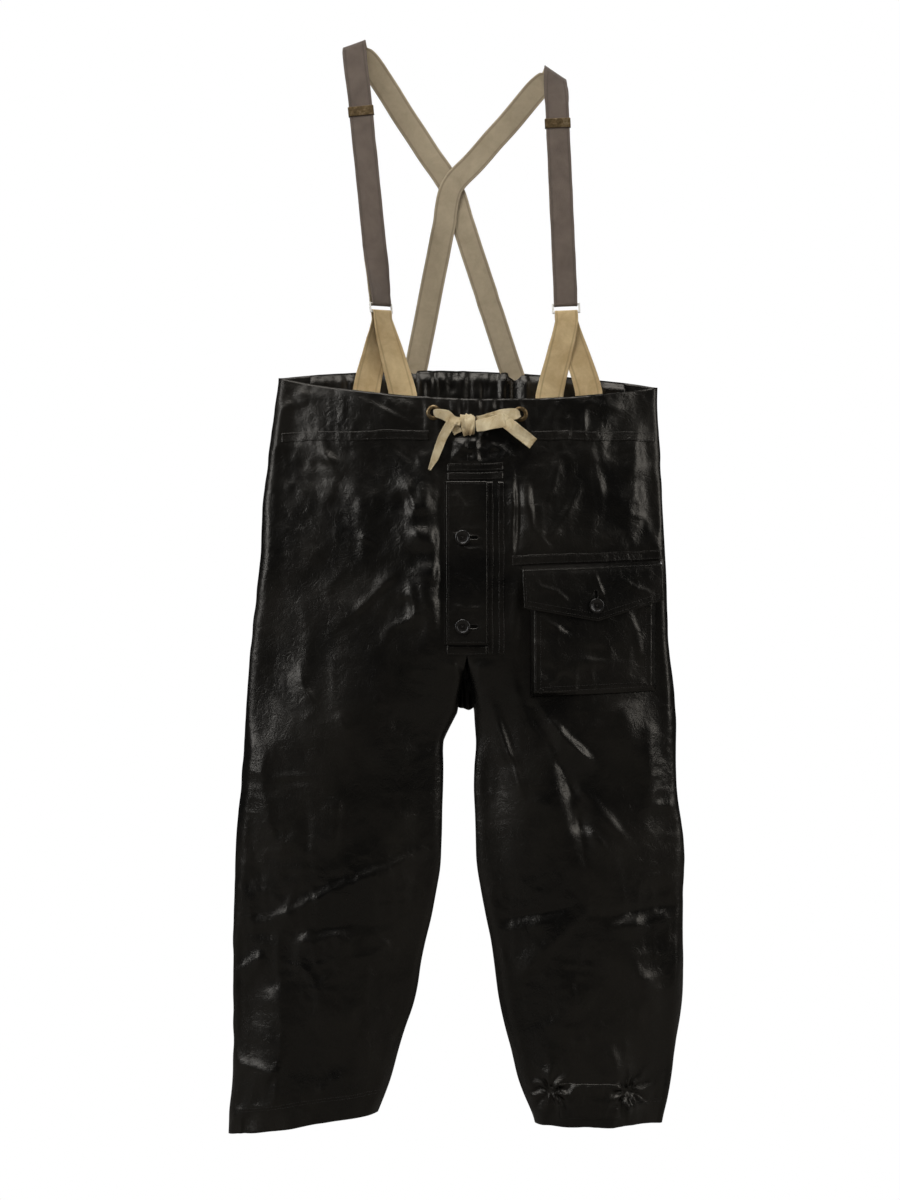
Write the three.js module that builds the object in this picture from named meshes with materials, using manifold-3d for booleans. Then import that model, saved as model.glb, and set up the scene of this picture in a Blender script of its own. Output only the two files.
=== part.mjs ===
// Bunker pants: wide trousers of rubber-coated cloth, hung by two webbing braces that cross at the back.
// Millimetres. +Z is up, -Y is the front, and +X is the wearer's left. The origin lies midway between
// the tops of the two shoulder loops, where the braces hang on a bar.
import * as THREE from "three";
import { mergeVertices } from "three/addons/utils/BufferGeometryUtils.js";
import Module from "manifold-3d";

const wasm = await Module();
wasm.setup();

// ---- Driving dimensions -----------------------------------------------------------------------

const clearance = 0.3; // between pieces that are sewn or lie face to face
const cloth = 1.2; // rubber-coated cloth
const front = -1;
const back = 1;

const waistHeight = -441; // waist edge at the side seams
const rise = 451; // waist edge to crotch
const thighLength = 280; // crotch to knee crease
const shinLength = 280; // knee crease to cuff
const waistWidth = 519; // laid flat, side seam to side seam
const hipWidth = 556;
const seatWidth = 578;
const waistDepth = 36; // from the middle plane to the cloth, at the fullest point
const hipDepth = 38;
const legDepth = 33;
const kneeDepth = 23;
const cuffDepth = 29;
const casingHeight = 76; // waist edge to the foot of the drawstring casing
const frontDip = 27; // the front waist edge sinks by this at its middle
const backLift = 10; // the back waist edge stands up by this at its middle
const flyEnd = 371; // waist edge to the foot of the fly
const hemHeight = 36;
const cuffSlant = 30; // the right cuff hangs lower at its outer seam

const tapeWidth = 13; // black tape over the seams
const tapeThickness = 1;
const channelDepth = 3.4; // room for the drawstring between the cloth and the casing
const casingShare = 0.84; // share of the half width that the casing spans

const strapWidth = 32; // brace webbing
const strapThickness = 1.6;
const ringWire = 2.4;
const ringHeight = 14;
const ringSpare = 6; // ring width beyond the webbing
const tabWidth = 38;
const tabThickness = 1.2;
const tabSewn = 10; // how far each tab's end goes into the casing
const slideHeight = 13;
const slideWall = 1.2;
const barRadius = 7.2; // bar that the shoulder loops fit over

const cordWidth = 19; // flat drawstring tape
const cordThickness = 1.1;
const eyeletBore = 5;
const eyeletWall = 1.2;
const eyeletFlange = 10.5;

const flyWidth = 55;
const flapThickness = 1.3;
const buttonRadius = 10;
const buttonThickness = 2.8;
const shankRadius = 1.8;
const buttonholeLength = 23;
const buttonholeWidth = 4.4;

const pocketWidth = 172;
const pocketHeight = 172; // flap seam to the pouch's foot
const pocketMouthDrop = 12; // the pouch's mouth lies this far below the flap seam
const pocketMouthGap = 9; // how far the pocket's mouth stands off the leg
const pocketFootGap = 5.5;
const pocketFlapWidth = 189;
const pocketFlapSide = 51;
const pocketFlapPoint = 73;

// ---- Cut of the pants -------------------------------------------------------------------------

const crotchHeight = waistHeight - rise;
const kneeHeight = crotchHeight - thighLength;
const cuffHeight = kneeHeight - shinLength;
const casingFoot = waistHeight - casingHeight;
const seatHeight = waistHeight - flyEnd;

const hipHeight = waistHeight - 227;

// Outer and inner edge of each leg, and the half depth of the cloth tube, at each height. The pants
// hang a little towards the wearer's right below the waist.
const stations = [
  { height: waistHeight, right: [-waistWidth / 2, 0], left: [waistWidth / 2, 0], depth: waistDepth },
  { height: casingFoot, right: [-waistWidth / 2 - 9, 0], left: [waistWidth / 2 + 5, 0], depth: waistDepth },
  { height: hipHeight, right: [-hipWidth / 2 - 6, 0], left: [hipWidth / 2 - 6, 0], depth: hipDepth },
  { height: seatHeight, right: [-seatWidth / 2 - 10, -8], left: [seatWidth / 2 - 10, -8], depth: hipDepth },
  { height: crotchHeight, right: [-304, -13], left: [284, -9], depth: legDepth },
  { height: crotchHeight - 39, right: [-307, -34], left: [286, 11], depth: legDepth },
  { height: crotchHeight - 115, right: [-312, -35], left: [289, 9], depth: legDepth - 1 },
  { height: crotchHeight - 209, right: [-317, -36], left: [295, 12], depth: legDepth - 4 },
  { height: kneeHeight, right: [-322, -49], left: [295, 26], depth: kneeDepth },
  { height: kneeHeight - 117, right: [-322, -74], left: [293, 42], depth: kneeDepth + 5 },
  { height: kneeHeight - 230, right: [-324, -108], left: [280, 74], depth: cuffDepth },
  { height: cuffHeight, right: [-328, -129], left: [264, 96], depth: cuffDepth },
];

const mix = THREE.MathUtils.lerp;
const roundSides = 20;

// The edges and depth at a height, straight between the stations around it.
function cutAt(side, height) {
  let below = stations.findIndex((station) => station.height <= height);
  if (below === -1) below = stations.length - 1;
  below = Math.max(below, 1);
  const high = stations[below - 1];
  const low = stations[below];
  const share = (high.height - height) / (high.height - low.height);
  return {
    outer: mix(high[side][0], low[side][0], share),
    inner: mix(high[side][1], low[side][1], share),
    depth: mix(high.depth, low.depth, share),
  };
}

// 0 where both legs share one tube, 1 where each leg is a tube of its own.
function splitAt(height) {
  return THREE.MathUtils.smoothstep(seatHeight - height, 0, seatHeight - crotchHeight);
}

// How far the cloth's outer face lies from the middle plane, at a share of the way to the outer seam.
function depthAt(share, height, depth) {
  const fullness = mix(1 - share * share, 4 * share * (1 - share), splitAt(height));
  return depth * fullness + cloth + clearance / 2;
}

function outerFace(x, height) {
  const middle = (cutAt("right", height).inner + cutAt("left", height).inner) / 2;
  const { outer, inner, depth } = cutAt(x < middle ? "right" : "left", height);
  const share = THREE.MathUtils.clamp((x - inner) / (outer - inner), 0, 1);
  return depthAt(share, height, depth);
}

function waistEdge(face, share) {
  const lift = face === front ? -frontDip : backLift;
  return waistHeight + lift * (1 - share * share);
}

function waistEdgeAt(face, x) {
  return waistEdge(face, Math.min(Math.abs(x) / (waistWidth / 2), 1));
}

// How fast the outer face falls back, per millimetre towards +X.
function faceSlope(x, height) {
  const step = 8;
  return (outerFace(x + step, height) - outerFace(x - step, height)) / (2 * step);
}

// ---- Making solids ----------------------------------------------------------------------------

function positionsOnly(geometry) {
  for (const name of Object.keys(geometry.attributes)) {
    if (name !== "position") geometry.deleteAttribute(name);
  }
  return mergeVertices(geometry, 1e-4);
}

function signedVolume(geometry) {
  const corners = [new THREE.Vector3(), new THREE.Vector3(), new THREE.Vector3()];
  const { index, attributes } = geometry;
  let volume = 0;
  for (let i = 0; i < index.count; i += 3) {
    corners.forEach((corner, k) => corner.fromBufferAttribute(attributes.position, index.getX(i + k)));
    volume += corners[0].dot(corners[1].cross(corners[2])) / 6;
  }
  return volume;
}

// Merges shared corners and turns every face outwards.
function closed(geometry) {
  const merged = positionsOnly(geometry);
  if (signedVolume(merged) < 0) {
    const index = merged.index.array;
    for (let i = 0; i < index.length; i += 3) {
      [index[i + 1], index[i + 2]] = [index[i + 2], index[i + 1]];
    }
  }
  merged.computeVertexNormals();
  return merged;
}

// Gives a box grid's back face the same diagonals as its front, so a thin bent wall keeps its thickness.
function matchDiagonals(geometry) {
  const { start, count } = geometry.groups.at(-1);
  const index = geometry.index.array;
  for (let i = start; i < start + count; i += 6) {
    const [a, b, d, , c] = index.slice(i, i + 6);
    index.set([a, b, c, a, c, d], i);
  }
}

// A box grid whose every corner is sent to the point that place(across, down, through) returns.
function slab(columns, rows, place) {
  const geometry = new THREE.BoxGeometry(1, 1, 1, columns, rows, 1);
  matchDiagonals(geometry);
  const position = geometry.attributes.position;
  for (let i = 0; i < position.count; i++) {
    const across = position.getX(i) + 0.5;
    const down = 0.5 - position.getY(i);
    const through = position.getZ(i) + 0.5;
    const point = place(across, down, through);
    position.setXYZ(i, point.x, point.y, point.z);
  }
  return closed(geometry);
}

function toSolid(geometry) {
  const merged = closed(geometry);
  return new wasm.Manifold(
    new wasm.Mesh({
      numProp: 3,
      vertProperties: new Float32Array(merged.attributes.position.array),
      triVerts: new Uint32Array(merged.index.array),
    }),
  );
}

function fromSolid(solid) {
  const { vertProperties, triVerts } = solid.getMesh();
  const geometry = new THREE.BufferGeometry();
  geometry.setAttribute("position", new THREE.BufferAttribute(vertProperties, 3));
  geometry.setIndex(new THREE.BufferAttribute(triVerts, 1));
  return closed(geometry);
}

function cut(geometry, ...tools) {
  return fromSolid(tools.reduce((solid, tool) => solid.subtract(toSolid(tool)), toSolid(geometry)));
}

// Lays a round piece, made about the Y axis with its seat at y = 0, on the front cloth at x and z.
function ontoFront(geometry, x, z) {
  return geometry.rotateZ(-Math.atan(faceSlope(x, z))).translate(x, -outerFace(x, z), z);
}

// Turns an outline of [radius, y] pairs about the Y axis.
function turned(profile, sides) {
  return closed(new THREE.LatheGeometry(profile.map(([r, y]) => new THREE.Vector2(r, y)), sides));
}

// A flat plate parallel to XZ: an outline in x and z, its front face at y, its thickness behind that.
function plate(shape, thickness, y) {
  return closed(
    new THREE.ExtrudeGeometry(shape, { depth: thickness, bevelEnabled: false })
      .rotateX(Math.PI / 2)
      .translate(0, y + thickness, 0),
  );
}

function rectangle(left, right, bottom, top) {
  return new THREE.Shape([
    new THREE.Vector2(left, bottom),
    new THREE.Vector2(right, bottom),
    new THREE.Vector2(right, top),
    new THREE.Vector2(left, top),
  ]);
}

// A slot with round ends, `length` long over all.
function slotShape(x, z, length, width, angle) {
  const reach = (length - width) / 2;
  const quarter = Math.PI / 2;
  const shape = new THREE.Shape();
  for (const end of [1, -1]) {
    const start = angle - end * quarter;
    const endX = x + end * reach * Math.cos(angle);
    const endZ = z + end * reach * Math.sin(angle);
    shape.absarc(endX, endZ, width / 2, start, start + Math.PI);
  }
  return shape;
}

// A stop's row across the band: square to the band, or skewed where the band passes over slanting.
function rowAt({ across, skewed }, tangent) {
  const row = across.clone();
  return skewed ? row : row.addScaledVector(tangent, -row.dot(tangent)).normalize();
}

// A flat band along a route. Each stop gives a point, the direction across the band and its width.
function ribbon(stops, thickness, stepsPerStop) {
  const curve = new THREE.CatmullRomCurve3(stops.map((stop) => stop.at));
  const spans = stops.length - 1;
  return slab(1, spans * stepsPerStop, (across, down, through) => {
    const low = Math.min(Math.floor(down * spans + 1e-6), spans - 1);
    const share = down * spans - low;
    const tangent = curve.getTangent(down);
    const sideways = rowAt(stops[low], tangent).lerp(rowAt(stops[low + 1], tangent), share).normalize();
    const normal = new THREE.Vector3().crossVectors(tangent, sideways).normalize();
    const width = mix(stops[low].width, stops[low + 1].width, share);
    return curve
      .getPoint(down)
      .addScaledVector(sideways, (across - 0.5) * width)
      .addScaledVector(normal, (through - 0.5) * thickness);
  });
}

const vector = (x, y, z) => new THREE.Vector3(x, y, z);

// A piece of cloth or tape that follows the pants' outer face, `lift` in front of it.
function patch({ face, left, right, top, bottom, lift, thickness, columns, rows }) {
  return slab(columns, rows, (across, down, through) => {
    const x = mix(left, right, across);
    const z = mix(top(x), bottom(x), down);
    const out = outerFace(x, z) + lift(down) + thickness * through;
    return vector(x, face * out, z);
  });
}

const constant = (value) => () => value;

// ---- Finishes and assembly --------------------------------------------------------------------

const finishes = {
  coated: { color: 0x15140f, roughness: 0.28, metalness: 0 },
  seamTape: { color: 0x1b1a16, roughness: 0.35, metalness: 0 },
  webbing: { color: 0x6a6058, roughness: 0.85, metalness: 0 },
  cotton: { color: 0xcdb98c, roughness: 0.9, metalness: 0 },
  brass: { color: 0x6e5a34, roughness: 0.45, metalness: 0.9 },
  ringMetal: { color: 0xe8e4da, roughness: 0.4, metalness: 0.2 },
  button: { color: 0x16140f, roughness: 0.3, metalness: 0 },
  thread: { color: 0x2c2620, roughness: 0.9, metalness: 0 },
};

const pants = new THREE.Group();

function add(name, finish, geometry, parent = pants) {
  const mesh = new THREE.Mesh(geometry, new THREE.MeshStandardMaterial(finishes[finish]));
  mesh.name = name;
  parent.add(mesh);
  return mesh;
}

const sides = ["right", "left"];
const outwards = { right: -1, left: 1 };

// ---- Cloth panels -----------------------------------------------------------------------------

const panelColumns = 12;
const splitRows = [0.25, 0.5, 0.75].map((share) => mix(seatHeight, crotchHeight, share));
const upperHeights = [...stations.slice(0, 8).map((station) => station.height), ...splitRows]
  .concat(kneeHeight + clearance / 2)
  .sort((a, b) => b - a);
const shinHeights = [kneeHeight - clearance / 2, ...stations.slice(9).map((station) => station.height)];

function cuffEdge(side, share) {
  return side === "right" ? cuffSlant * (0.5 - share) : 0;
}

function clothPanel(side, face, heights) {
  const last = heights.length - 1;
  return slab(panelColumns, last, (across, down, through) => {
    const row = Math.round(down * last);
    let z = heights[row];
    if (z === waistHeight) z = waistEdge(face, across);
    const { outer, inner, depth } = cutAt(side, Math.min(z, waistHeight));
    const x = mix(inner + (outwards[side] * clearance) / 2, outer, across);
    const y = face * (depthAt(across, z, depth) - cloth * (1 - through));
    if (z === cuffHeight) z += cuffEdge(side, across);
    return vector(x, y, z);
  });
}

const eyelets = {
  right: { x: -46, z: waistHeight - 44 },
  left: { x: 71, z: waistHeight - 46 },
};

for (const side of sides) {
  const { x, z } = eyelets[side];
  const holeRadius = eyeletBore + eyeletWall + clearance;
  const hole = ontoFront(new THREE.CylinderGeometry(holeRadius, holeRadius, 20, roundSides), x, z);
  add(`front_panel_${side}`, "coated", cut(clothPanel(side, front, upperHeights), hole));
  add(`back_panel_${side}`, "coated", clothPanel(side, back, upperHeights));
  add(`front_shin_panel_${side}`, "coated", clothPanel(side, front, shinHeights));
  add(`back_shin_panel_${side}`, "coated", clothPanel(side, back, shinHeights));
}

// ---- Waist casing: the cloth turned in at the waist, which makes the drawstring's channel ------

const casingReach = (casingShare * waistWidth) / 2;
const edgeRoom = strapThickness + 2.5 * clearance; // the braces and tabs enter at the casing's edge

const casingRows = 7;

// Its first row opens from the edge to the channel's full depth, and its last closes onto the cloth.
function casingLift(down) {
  const room = down === 1 ? clearance : mix(edgeRoom, channelDepth, Math.min(down * casingRows, 1));
  return -(2 * cloth + room);
}

for (const [name, face] of [["waist_casing_front", front], ["waist_casing_back", back]]) {
  add(
    name,
    "coated",
    patch({
      face,
      left: -casingReach,
      right: casingReach,
      top: (x) => waistEdgeAt(face, x) - 1,
      bottom: constant(casingFoot),
      lift: casingLift,
      thickness: cloth,
      columns: 16,
      rows: casingRows,
    }),
  );
}

const tapeTop = casingFoot + 8;
const tapeSpans = {
  waist_tape_front_right: { face: front, left: -waistWidth / 2 + 4, right: -50 },
  waist_tape_front_left: { face: front, left: 84, right: waistWidth / 2 },
  waist_tape_back: { face: back, left: -waistWidth / 2 + 4, right: waistWidth / 2 },
};
for (const [name, span] of Object.entries(tapeSpans)) {
  add(
    name,
    "seamTape",
    patch({
      ...span,
      top: constant(tapeTop),
      bottom: constant(tapeTop - tapeWidth),
      lift: constant(2 * clearance),
      thickness: tapeThickness,
      columns: name === "waist_tape_back" ? 20 : 9,
      rows: 1,
    }),
  );
}

// ---- Eyelets, their washers, and the drawstring -------------------------------------------------

const flangeThickness = 1;

function eyeletRing() {
  const face = -2 * clearance; // the flange's back
  const barrel = eyeletBore + eyeletWall;
  const reach = cloth + 2 * clearance; // how far the barrel goes in behind the cloth's outer face
  return turned(
    [
      [eyeletBore, face - flangeThickness],
      [eyeletFlange, face - flangeThickness],
      [eyeletFlange, face],
      [barrel, face],
      [barrel, reach],
      [eyeletBore, reach],
      [eyeletBore, face - flangeThickness],
    ],
    roundSides,
  );
}

function eyeletWasher() {
  const face = cloth + clearance;
  const inner = eyeletBore + eyeletWall + clearance;
  const outer = eyeletFlange - 1;
  const thickness = 0.6;
  return turned(
    [
      [inner, face],
      [outer, face],
      [outer, face + thickness],
      [inner, face + thickness],
      [inner, face],
    ],
    roundSides,
  );
}

for (const side of sides) {
  const { x, z } = eyelets[side];
  add(`eyelet_${side}`, "brass", ontoFront(eyeletRing(), x, z));
  add(`eyelet_washer_${side}`, "brass", ontoFront(eyeletWasher(), x, z));
}

const channelHeight = waistHeight - 52;
const cordInset = cloth + channelDepth / 2 + clearance; // the tape's middle, behind the cloth's outer face
const upright = vector(0, 0, 1); // the tape lies flat against the cloth

function channelStop(x, face, z = channelHeight, width = cordWidth) {
  return { at: vector(x, face * (outerFace(x, z) - cordInset), z), across: upright, width };
}

// Round the side seam, from the front channel to the back one, past the casing's end.
function channelTurn(sign) {
  const depth = 4.2;
  return [
    [casingReach + 13, front * depth],
    [casingReach + 18, 0],
    [casingReach + 13, back * depth],
  ].map(([x, y]) => ({ at: vector(sign * x, y, channelHeight), across: upright, width: cordWidth }));
}

const backShares = [-1, -0.85, -0.66, -0.33, 0, 0.33, 0.66, 0.85, 1];

// From the right eyelet round the right hip, across the back, and round the left hip to the left eyelet.
const channelStops = [
  channelStop(eyelets.right.x - 5, front, eyelets.right.z, 9),
  channelStop(eyelets.right.x - 22, front),
  ...[-110, -150, -190, -casingReach - 4].map((x) => channelStop(x, front)),
  ...channelTurn(-1),
  ...backShares.map((share) => channelStop(share * (casingReach + 4), back)),
  ...channelTurn(1).reverse(),
  ...[casingReach + 4, 190, 150, 115].map((x) => channelStop(x, front)),
  channelStop(eyelets.left.x + 22, front),
  channelStop(eyelets.left.x + 5, front, eyelets.left.z, 9),
];
add("drawstring_channel_run", "cotton", ribbon(channelStops, cordThickness, 2));

const knotCentre = vector(1, front * (outerFace(0, casingFoot) + 8), waistHeight - 60);
const knotSize = 26;
const knotThickness = 9;
const knotRound = 3;
const knotCore = knotThickness - 2 * knotRound;

const knotShape = rectangle(-knotSize / 2, knotSize / 2, -knotSize / 2, knotSize / 2);
const knotBevel = {
  depth: knotCore,
  bevelThickness: knotRound,
  bevelSize: knotRound,
  bevelOffset: -knotRound,
  bevelSegments: 2,
};
add(
  "bow_knot",
  "cotton",
  closed(
    new THREE.ExtrudeGeometry(knotShape, knotBevel)
      .translate(0, 0, -knotCore / 2)
      .rotateX(Math.PI / 2)
      .translate(knotCentre.x, knotCentre.y, knotCentre.z),
  ),
);

// The bow's stops count from the knot's edge or centre, and each lead starts at the middle of its eyelet.
const knotEdge = knotSize / 2 + 3 * clearance;
const leanIn = vector(-0.1, 0, 1);

function byKnot(x, y, z, across, width) {
  return { at: vector(knotCentre.x + x, knotCentre.y + y, knotCentre.z + z), across, width };
}

function byEyelet(side, x, y, z, across, width) {
  const eyelet = eyelets[side];
  return { at: vector(eyelet.x + x, y, eyelet.z + z), across, width };
}

function inEyelet(side) {
  const eyelet = eyelets[side];
  return byEyelet(side, 0, front * (outerFace(eyelet.x, eyelet.z) + 1), 0, upright, 6);
}

const bowStops = {
  drawstring_lead_right: [
    inEyelet("right"),
    byEyelet("right", 4, knotCentre.y + 2, -1, upright, 13),
    byEyelet("right", 17, knotCentre.y - 1, -5, vector(0.25, 0, 1), 15),
    byKnot(-knotEdge - 7, -0.3, 4.6, upright, 12),
    byKnot(-knotEdge, 0, 4, upright, 12),
  ],
  drawstring_lead_left: [
    inEyelet("left"),
    byEyelet("left", -5, knotCentre.y + 3, 0, upright, 15),
    byEyelet("left", -24, knotCentre.y + 1.5, -4, leanIn, cordWidth),
    byKnot(knotEdge + 3, 1.5, 3.2, upright, cordWidth),
    byKnot(knotEdge, 1.5, 3, upright, cordWidth),
  ],
  bow_loop_left: [
    byKnot(knotEdge, -1.5, -1, upright, cordWidth),
    byKnot(knotEdge + 5, -2.4, -0.6, upright, cordWidth),
    byKnot(27, -4.5, 1, leanIn, cordWidth),
    byKnot(42, -4, 3, leanIn, cordWidth),
  ],
  bow_loop_right: [
    byKnot(-knotEdge, 2, -7, upright, 12),
    byKnot(-20, 2.6, -8, upright, 13),
  ],
};
for (const [name, stops] of Object.entries(bowStops)) {
  add(name, "cotton", ribbon(stops, cordThickness, 4));
}

// The two free ends. Each hangs from the bow, and its route is a list of chosen points.
const tailRoutes = {
  drawstring_tail_right: {
    points: [
      [-22, -47.9, -499],
      [-26.5, -48, -506],
      [-33, -47.5, -518],
      [-39, -46.5, -533],
      [-45, -45.5, -548],
      [-52, -44.5, -563],
    ],
    across: vector(1, 0.1, 0.3),
    width: 14,
  },
  drawstring_tail_left: {
    points: [
      [46, -47, -495],
      [50.5, -49, -499],
      [59, -50, -505],
      [69, -49, -513],
      [79, -48, -521],
      [88, -46, -528],
    ],
    across: vector(0.55, 0, 1),
    width: 18,
  },
};
for (const [name, { points, across, width }] of Object.entries(tailRoutes)) {
  const stops = points.map(([x, y, z]) => ({ at: vector(x, y, z), across, width }));
  add(name, "cotton", ribbon(stops, cordThickness, 2));
}

// ---- Fly: a stand sewn to the front, a flap hinged along its left edge, two buttons -------------

const flyTop = waistHeight - 137;
const flyFoot = seatHeight + 14;
const flyRight = -29;
const flyLeft = flyRight + flyWidth;
// The stand's front face, measured out from the middle plane.
const standFace = outerFace(0, seatHeight) + clearance + cloth;
const flapBack = standFace + 2 * clearance;
const flyButtons = { fly_button_upper: waistHeight - 213, fly_button_lower: waistHeight - 333 };
const flyButtonX = -7;

add("fly_stand", "coated", plate(rectangle(flyRight - 3, flyLeft, flyFoot, flyTop), cloth, -standFace));

const flyHoles = Object.values(flyButtons).map((z) => {
  const slotX = flyButtonX + (buttonholeLength - buttonholeWidth) / 2 - clearance;
  return plate(slotShape(slotX, z, buttonholeLength, buttonholeWidth, 0), 10, -flapBack - 5);
});
const flyFlapShape = rectangle(flyRight, flyLeft, flyFoot, flyTop);
add("fly_flap", "coated", cut(plate(flyFlapShape, flapThickness, -flapBack - flapThickness), ...flyHoles));

// A sewn button: its axis along Y, its shank reaching back to the cloth under the flap.
function buttonGeometry(shankBack, shankFront) {
  const head = shankFront + buttonThickness;
  const profile = [
    [0, shankBack],
    [shankRadius, shankBack],
    [shankRadius, shankFront],
    [buttonRadius - 1, shankFront],
    [buttonRadius, shankFront + 1],
    [buttonRadius, head - 0.6],
    [buttonRadius - 1.6, head],
    [buttonRadius - 3, head - 0.9],
    [0, head - 0.9],
  ];
  return turned(profile, roundSides);
}

for (const [name, z] of Object.entries(flyButtons)) {
  const geometry = buttonGeometry(standFace + clearance, flapBack + flapThickness + clearance);
  add(name, "button", geometry.rotateZ(Math.PI).translate(flyButtonX, 0, z));
}

function flyTape(left, right, bottom, top, rows) {
  return patch({
    face: front,
    left,
    right,
    top: constant(top),
    bottom: constant(bottom),
    lift: constant(2 * clearance),
    thickness: tapeThickness,
    columns: 2,
    rows,
  });
}
const sideTapeWidth = 8;
const sideTapeGap = 7;
const innerTapeLeft = flyLeft + clearance + sideTapeWidth;
const outerTapeLeft = innerTapeLeft + sideTapeGap + sideTapeWidth;
add("fly_top_tape", "seamTape", flyTape(flyRight, outerTapeLeft, flyTop + 2, flyTop + 25, 1));
add("fly_side_tape_inner", "seamTape", flyTape(flyLeft + clearance, innerTapeLeft, seatHeight, flyTop, 3));
const outerTape = flyTape(outerTapeLeft - sideTapeWidth, outerTapeLeft, seatHeight, flyTop, 3);
add("fly_side_tape_outer", "seamTape", outerTape);
add("fly_foot_tape", "seamTape", flyTape(flyRight, flyLeft, seatHeight, seatHeight + 12, 1));

// ---- Thigh pocket: a pouch, a pointed flap hinged along its top, a button, and its trim ---------

const pocketLeft = 84; // its edge nearest the middle
const pocketRight = pocketLeft + pocketWidth;
const pocketTop = waistHeight - 253;
const pocketFoot = pocketTop - pocketHeight;
const pocketMiddle = pocketLeft + pocketWidth / 2;
const pocketSlope = (outerFace(pocketLeft, pocketTop) - outerFace(pocketRight, pocketTop)) / pocketWidth;
const pocketLean = Math.atan(pocketSlope); // the pocket faces outwards by this
const pocketTilt = THREE.MathUtils.degToRad(2.5); // its top edge rises towards the side seam
const pocketBulge = 2.6; // the cloth's swell between the pocket's edges

function pouchFace(x, down) {
  const chord = outerFace(pocketMiddle, pocketTop) + pocketBulge - pocketSlope * (x - pocketMiddle);
  return chord + mix(pocketMouthGap, pocketFootGap, down * down) + cloth;
}

function pouchBlock(inset, backOf, frontOf, overTop) {
  return slab(7, 5, (across, down, through) => {
    const x = mix(pocketLeft + inset, pocketRight - inset, across);
    const lift = (x - pocketMiddle) * Math.tan(pocketTilt);
    const z = mix(pocketTop - pocketMouthDrop + overTop, pocketFoot + inset, down) + lift;
    const share = THREE.MathUtils.clamp((pocketTop - z + lift) / pocketHeight, 0, 1);
    return vector(x, front * mix(backOf(x, z), frontOf(x, share), through), z);
  });
}
add(
  "pocket_pouch",
  "coated",
  cut(
    pouchBlock(0, (x, z) => outerFace(x, z) + clearance * 1.5, pouchFace, 0),
    pouchBlock(cloth, (x, z) => outerFace(x, z) - 5, (x, share) => pouchFace(x, share) - cloth, 5),
  ),
);

// The flap's own frame: x along its hinge, y up, z out of the leg. Its hinge runs along y = 0.
const pocketHinge = new THREE.Group();
const flapMiddle = pocketMiddle - 4;
const hingeOut = pouchFace(flapMiddle, 0) + 2 * clearance;
pocketHinge.position.set(flapMiddle, front * hingeOut, pocketTop);
pocketHinge.rotation.set(Math.PI / 2, pocketLean, pocketTilt, "XYZ");
pants.add(pocketHinge);

const flapHalf = pocketFlapWidth / 2;
const flapShape = new THREE.Shape([
  new THREE.Vector2(-flapHalf, 0),
  new THREE.Vector2(-flapHalf, -pocketFlapSide),
  new THREE.Vector2(6, -pocketFlapPoint),
  new THREE.Vector2(flapHalf, -pocketFlapSide + 2),
  new THREE.Vector2(flapHalf, 0),
]);
const pocketButtonX = 5;
const pocketButtonDrop = 52;
const holeLift = (buttonholeLength - buttonholeWidth) / 2 - clearance; // the shank stands at the slot's end
const pocketHole = slotShape(
  pocketButtonX,
  holeLift - pocketButtonDrop,
  buttonholeLength,
  buttonholeWidth,
  Math.PI / 2,
);
flapShape.holes.push(new THREE.Path(pocketHole.getPoints(8)));
const flapExtrusion = { depth: flapThickness, bevelEnabled: false, curveSegments: 8 };
add("pocket_flap", "coated", closed(new THREE.ExtrudeGeometry(flapShape, flapExtrusion)), pocketHinge);

// Its button is sewn to the pouch and stands in the flap's buttonhole.
const pocketButton = buttonGeometry(-clearance, flapThickness + clearance);
pocketButton.rotateX(Math.PI / 2).translate(pocketButtonX, -pocketButtonDrop, 0);
add("pocket_button", "button", pocketButton, pocketHinge);

// The flap's root: the same cloth, from its seam on the leg out to the line that the flap folds on.
const rootRise = 4;
add(
  "pocket_flap_root",
  "coated",
  slab(8, 1, (across, down, through) => {
    const x = flapMiddle + mix(-flapHalf, flapHalf, across) * Math.cos(pocketLean);
    const seam = pocketTop + (x - flapMiddle) * Math.tan(pocketTilt);
    const foldOut = hingeOut - pocketSlope * (x - flapMiddle) + flapThickness;
    const z = seam + mix(rootRise, clearance, down) + cloth * through;
    return vector(x, front * mix(outerFace(x, z) + 1.5 * clearance, foldOut, down), z);
  }),
);

function pocketTapeTop(x) {
  const aboveRoot = rootRise + cloth + 2 * clearance + tapeWidth;
  return pocketTop + aboveRoot + (x - pocketMiddle) * Math.tan(pocketTilt);
}
add(
  "pocket_top_tape",
  "seamTape",
  patch({
    face: front,
    left: pocketLeft - 24,
    right: pocketRight + 10,
    top: pocketTapeTop,
    bottom: (x) => pocketTapeTop(x) - tapeWidth,
    lift: constant(2 * clearance),
    thickness: tapeThickness,
    columns: 8,
    rows: 1,
  }),
);

const tackRadius = 4;
const tackThickness = 1.4;
const tacks = { pocket_tack_inner: pocketLeft + 14, pocket_tack_outer: pocketRight - 16 };
for (const [name, x] of Object.entries(tacks)) {
  const z = pocketFoot + 9 + (x - pocketMiddle) * Math.tan(pocketTilt);
  const out = pouchFace(x, 0.95) + tackThickness / 2 + 2 * clearance;
  const tack = new THREE.CylinderGeometry(tackRadius, tackRadius, tackThickness, 12);
  add(name, "seamTape", closed(tack).rotateZ(pocketLean).translate(x, front * out, z));
}

// ---- Braces: one webbing each, from the back waist over the shoulder and round the ring ---------

const archRadius = barRadius + strapThickness / 2;
const webbingPitch = strapThickness + clearance; // between two layers that lie on each other
const wireCorner = ringWire * Math.SQRT1_2; // the wire is square, so its corners reach this far
const wrapRadius = wireCorner + clearance + strapThickness / 2;

const crossingFace = 24; // how far behind the middle plane the braces cross
const crossingPitch = webbingPitch / 2 + 2 * clearance;

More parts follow.
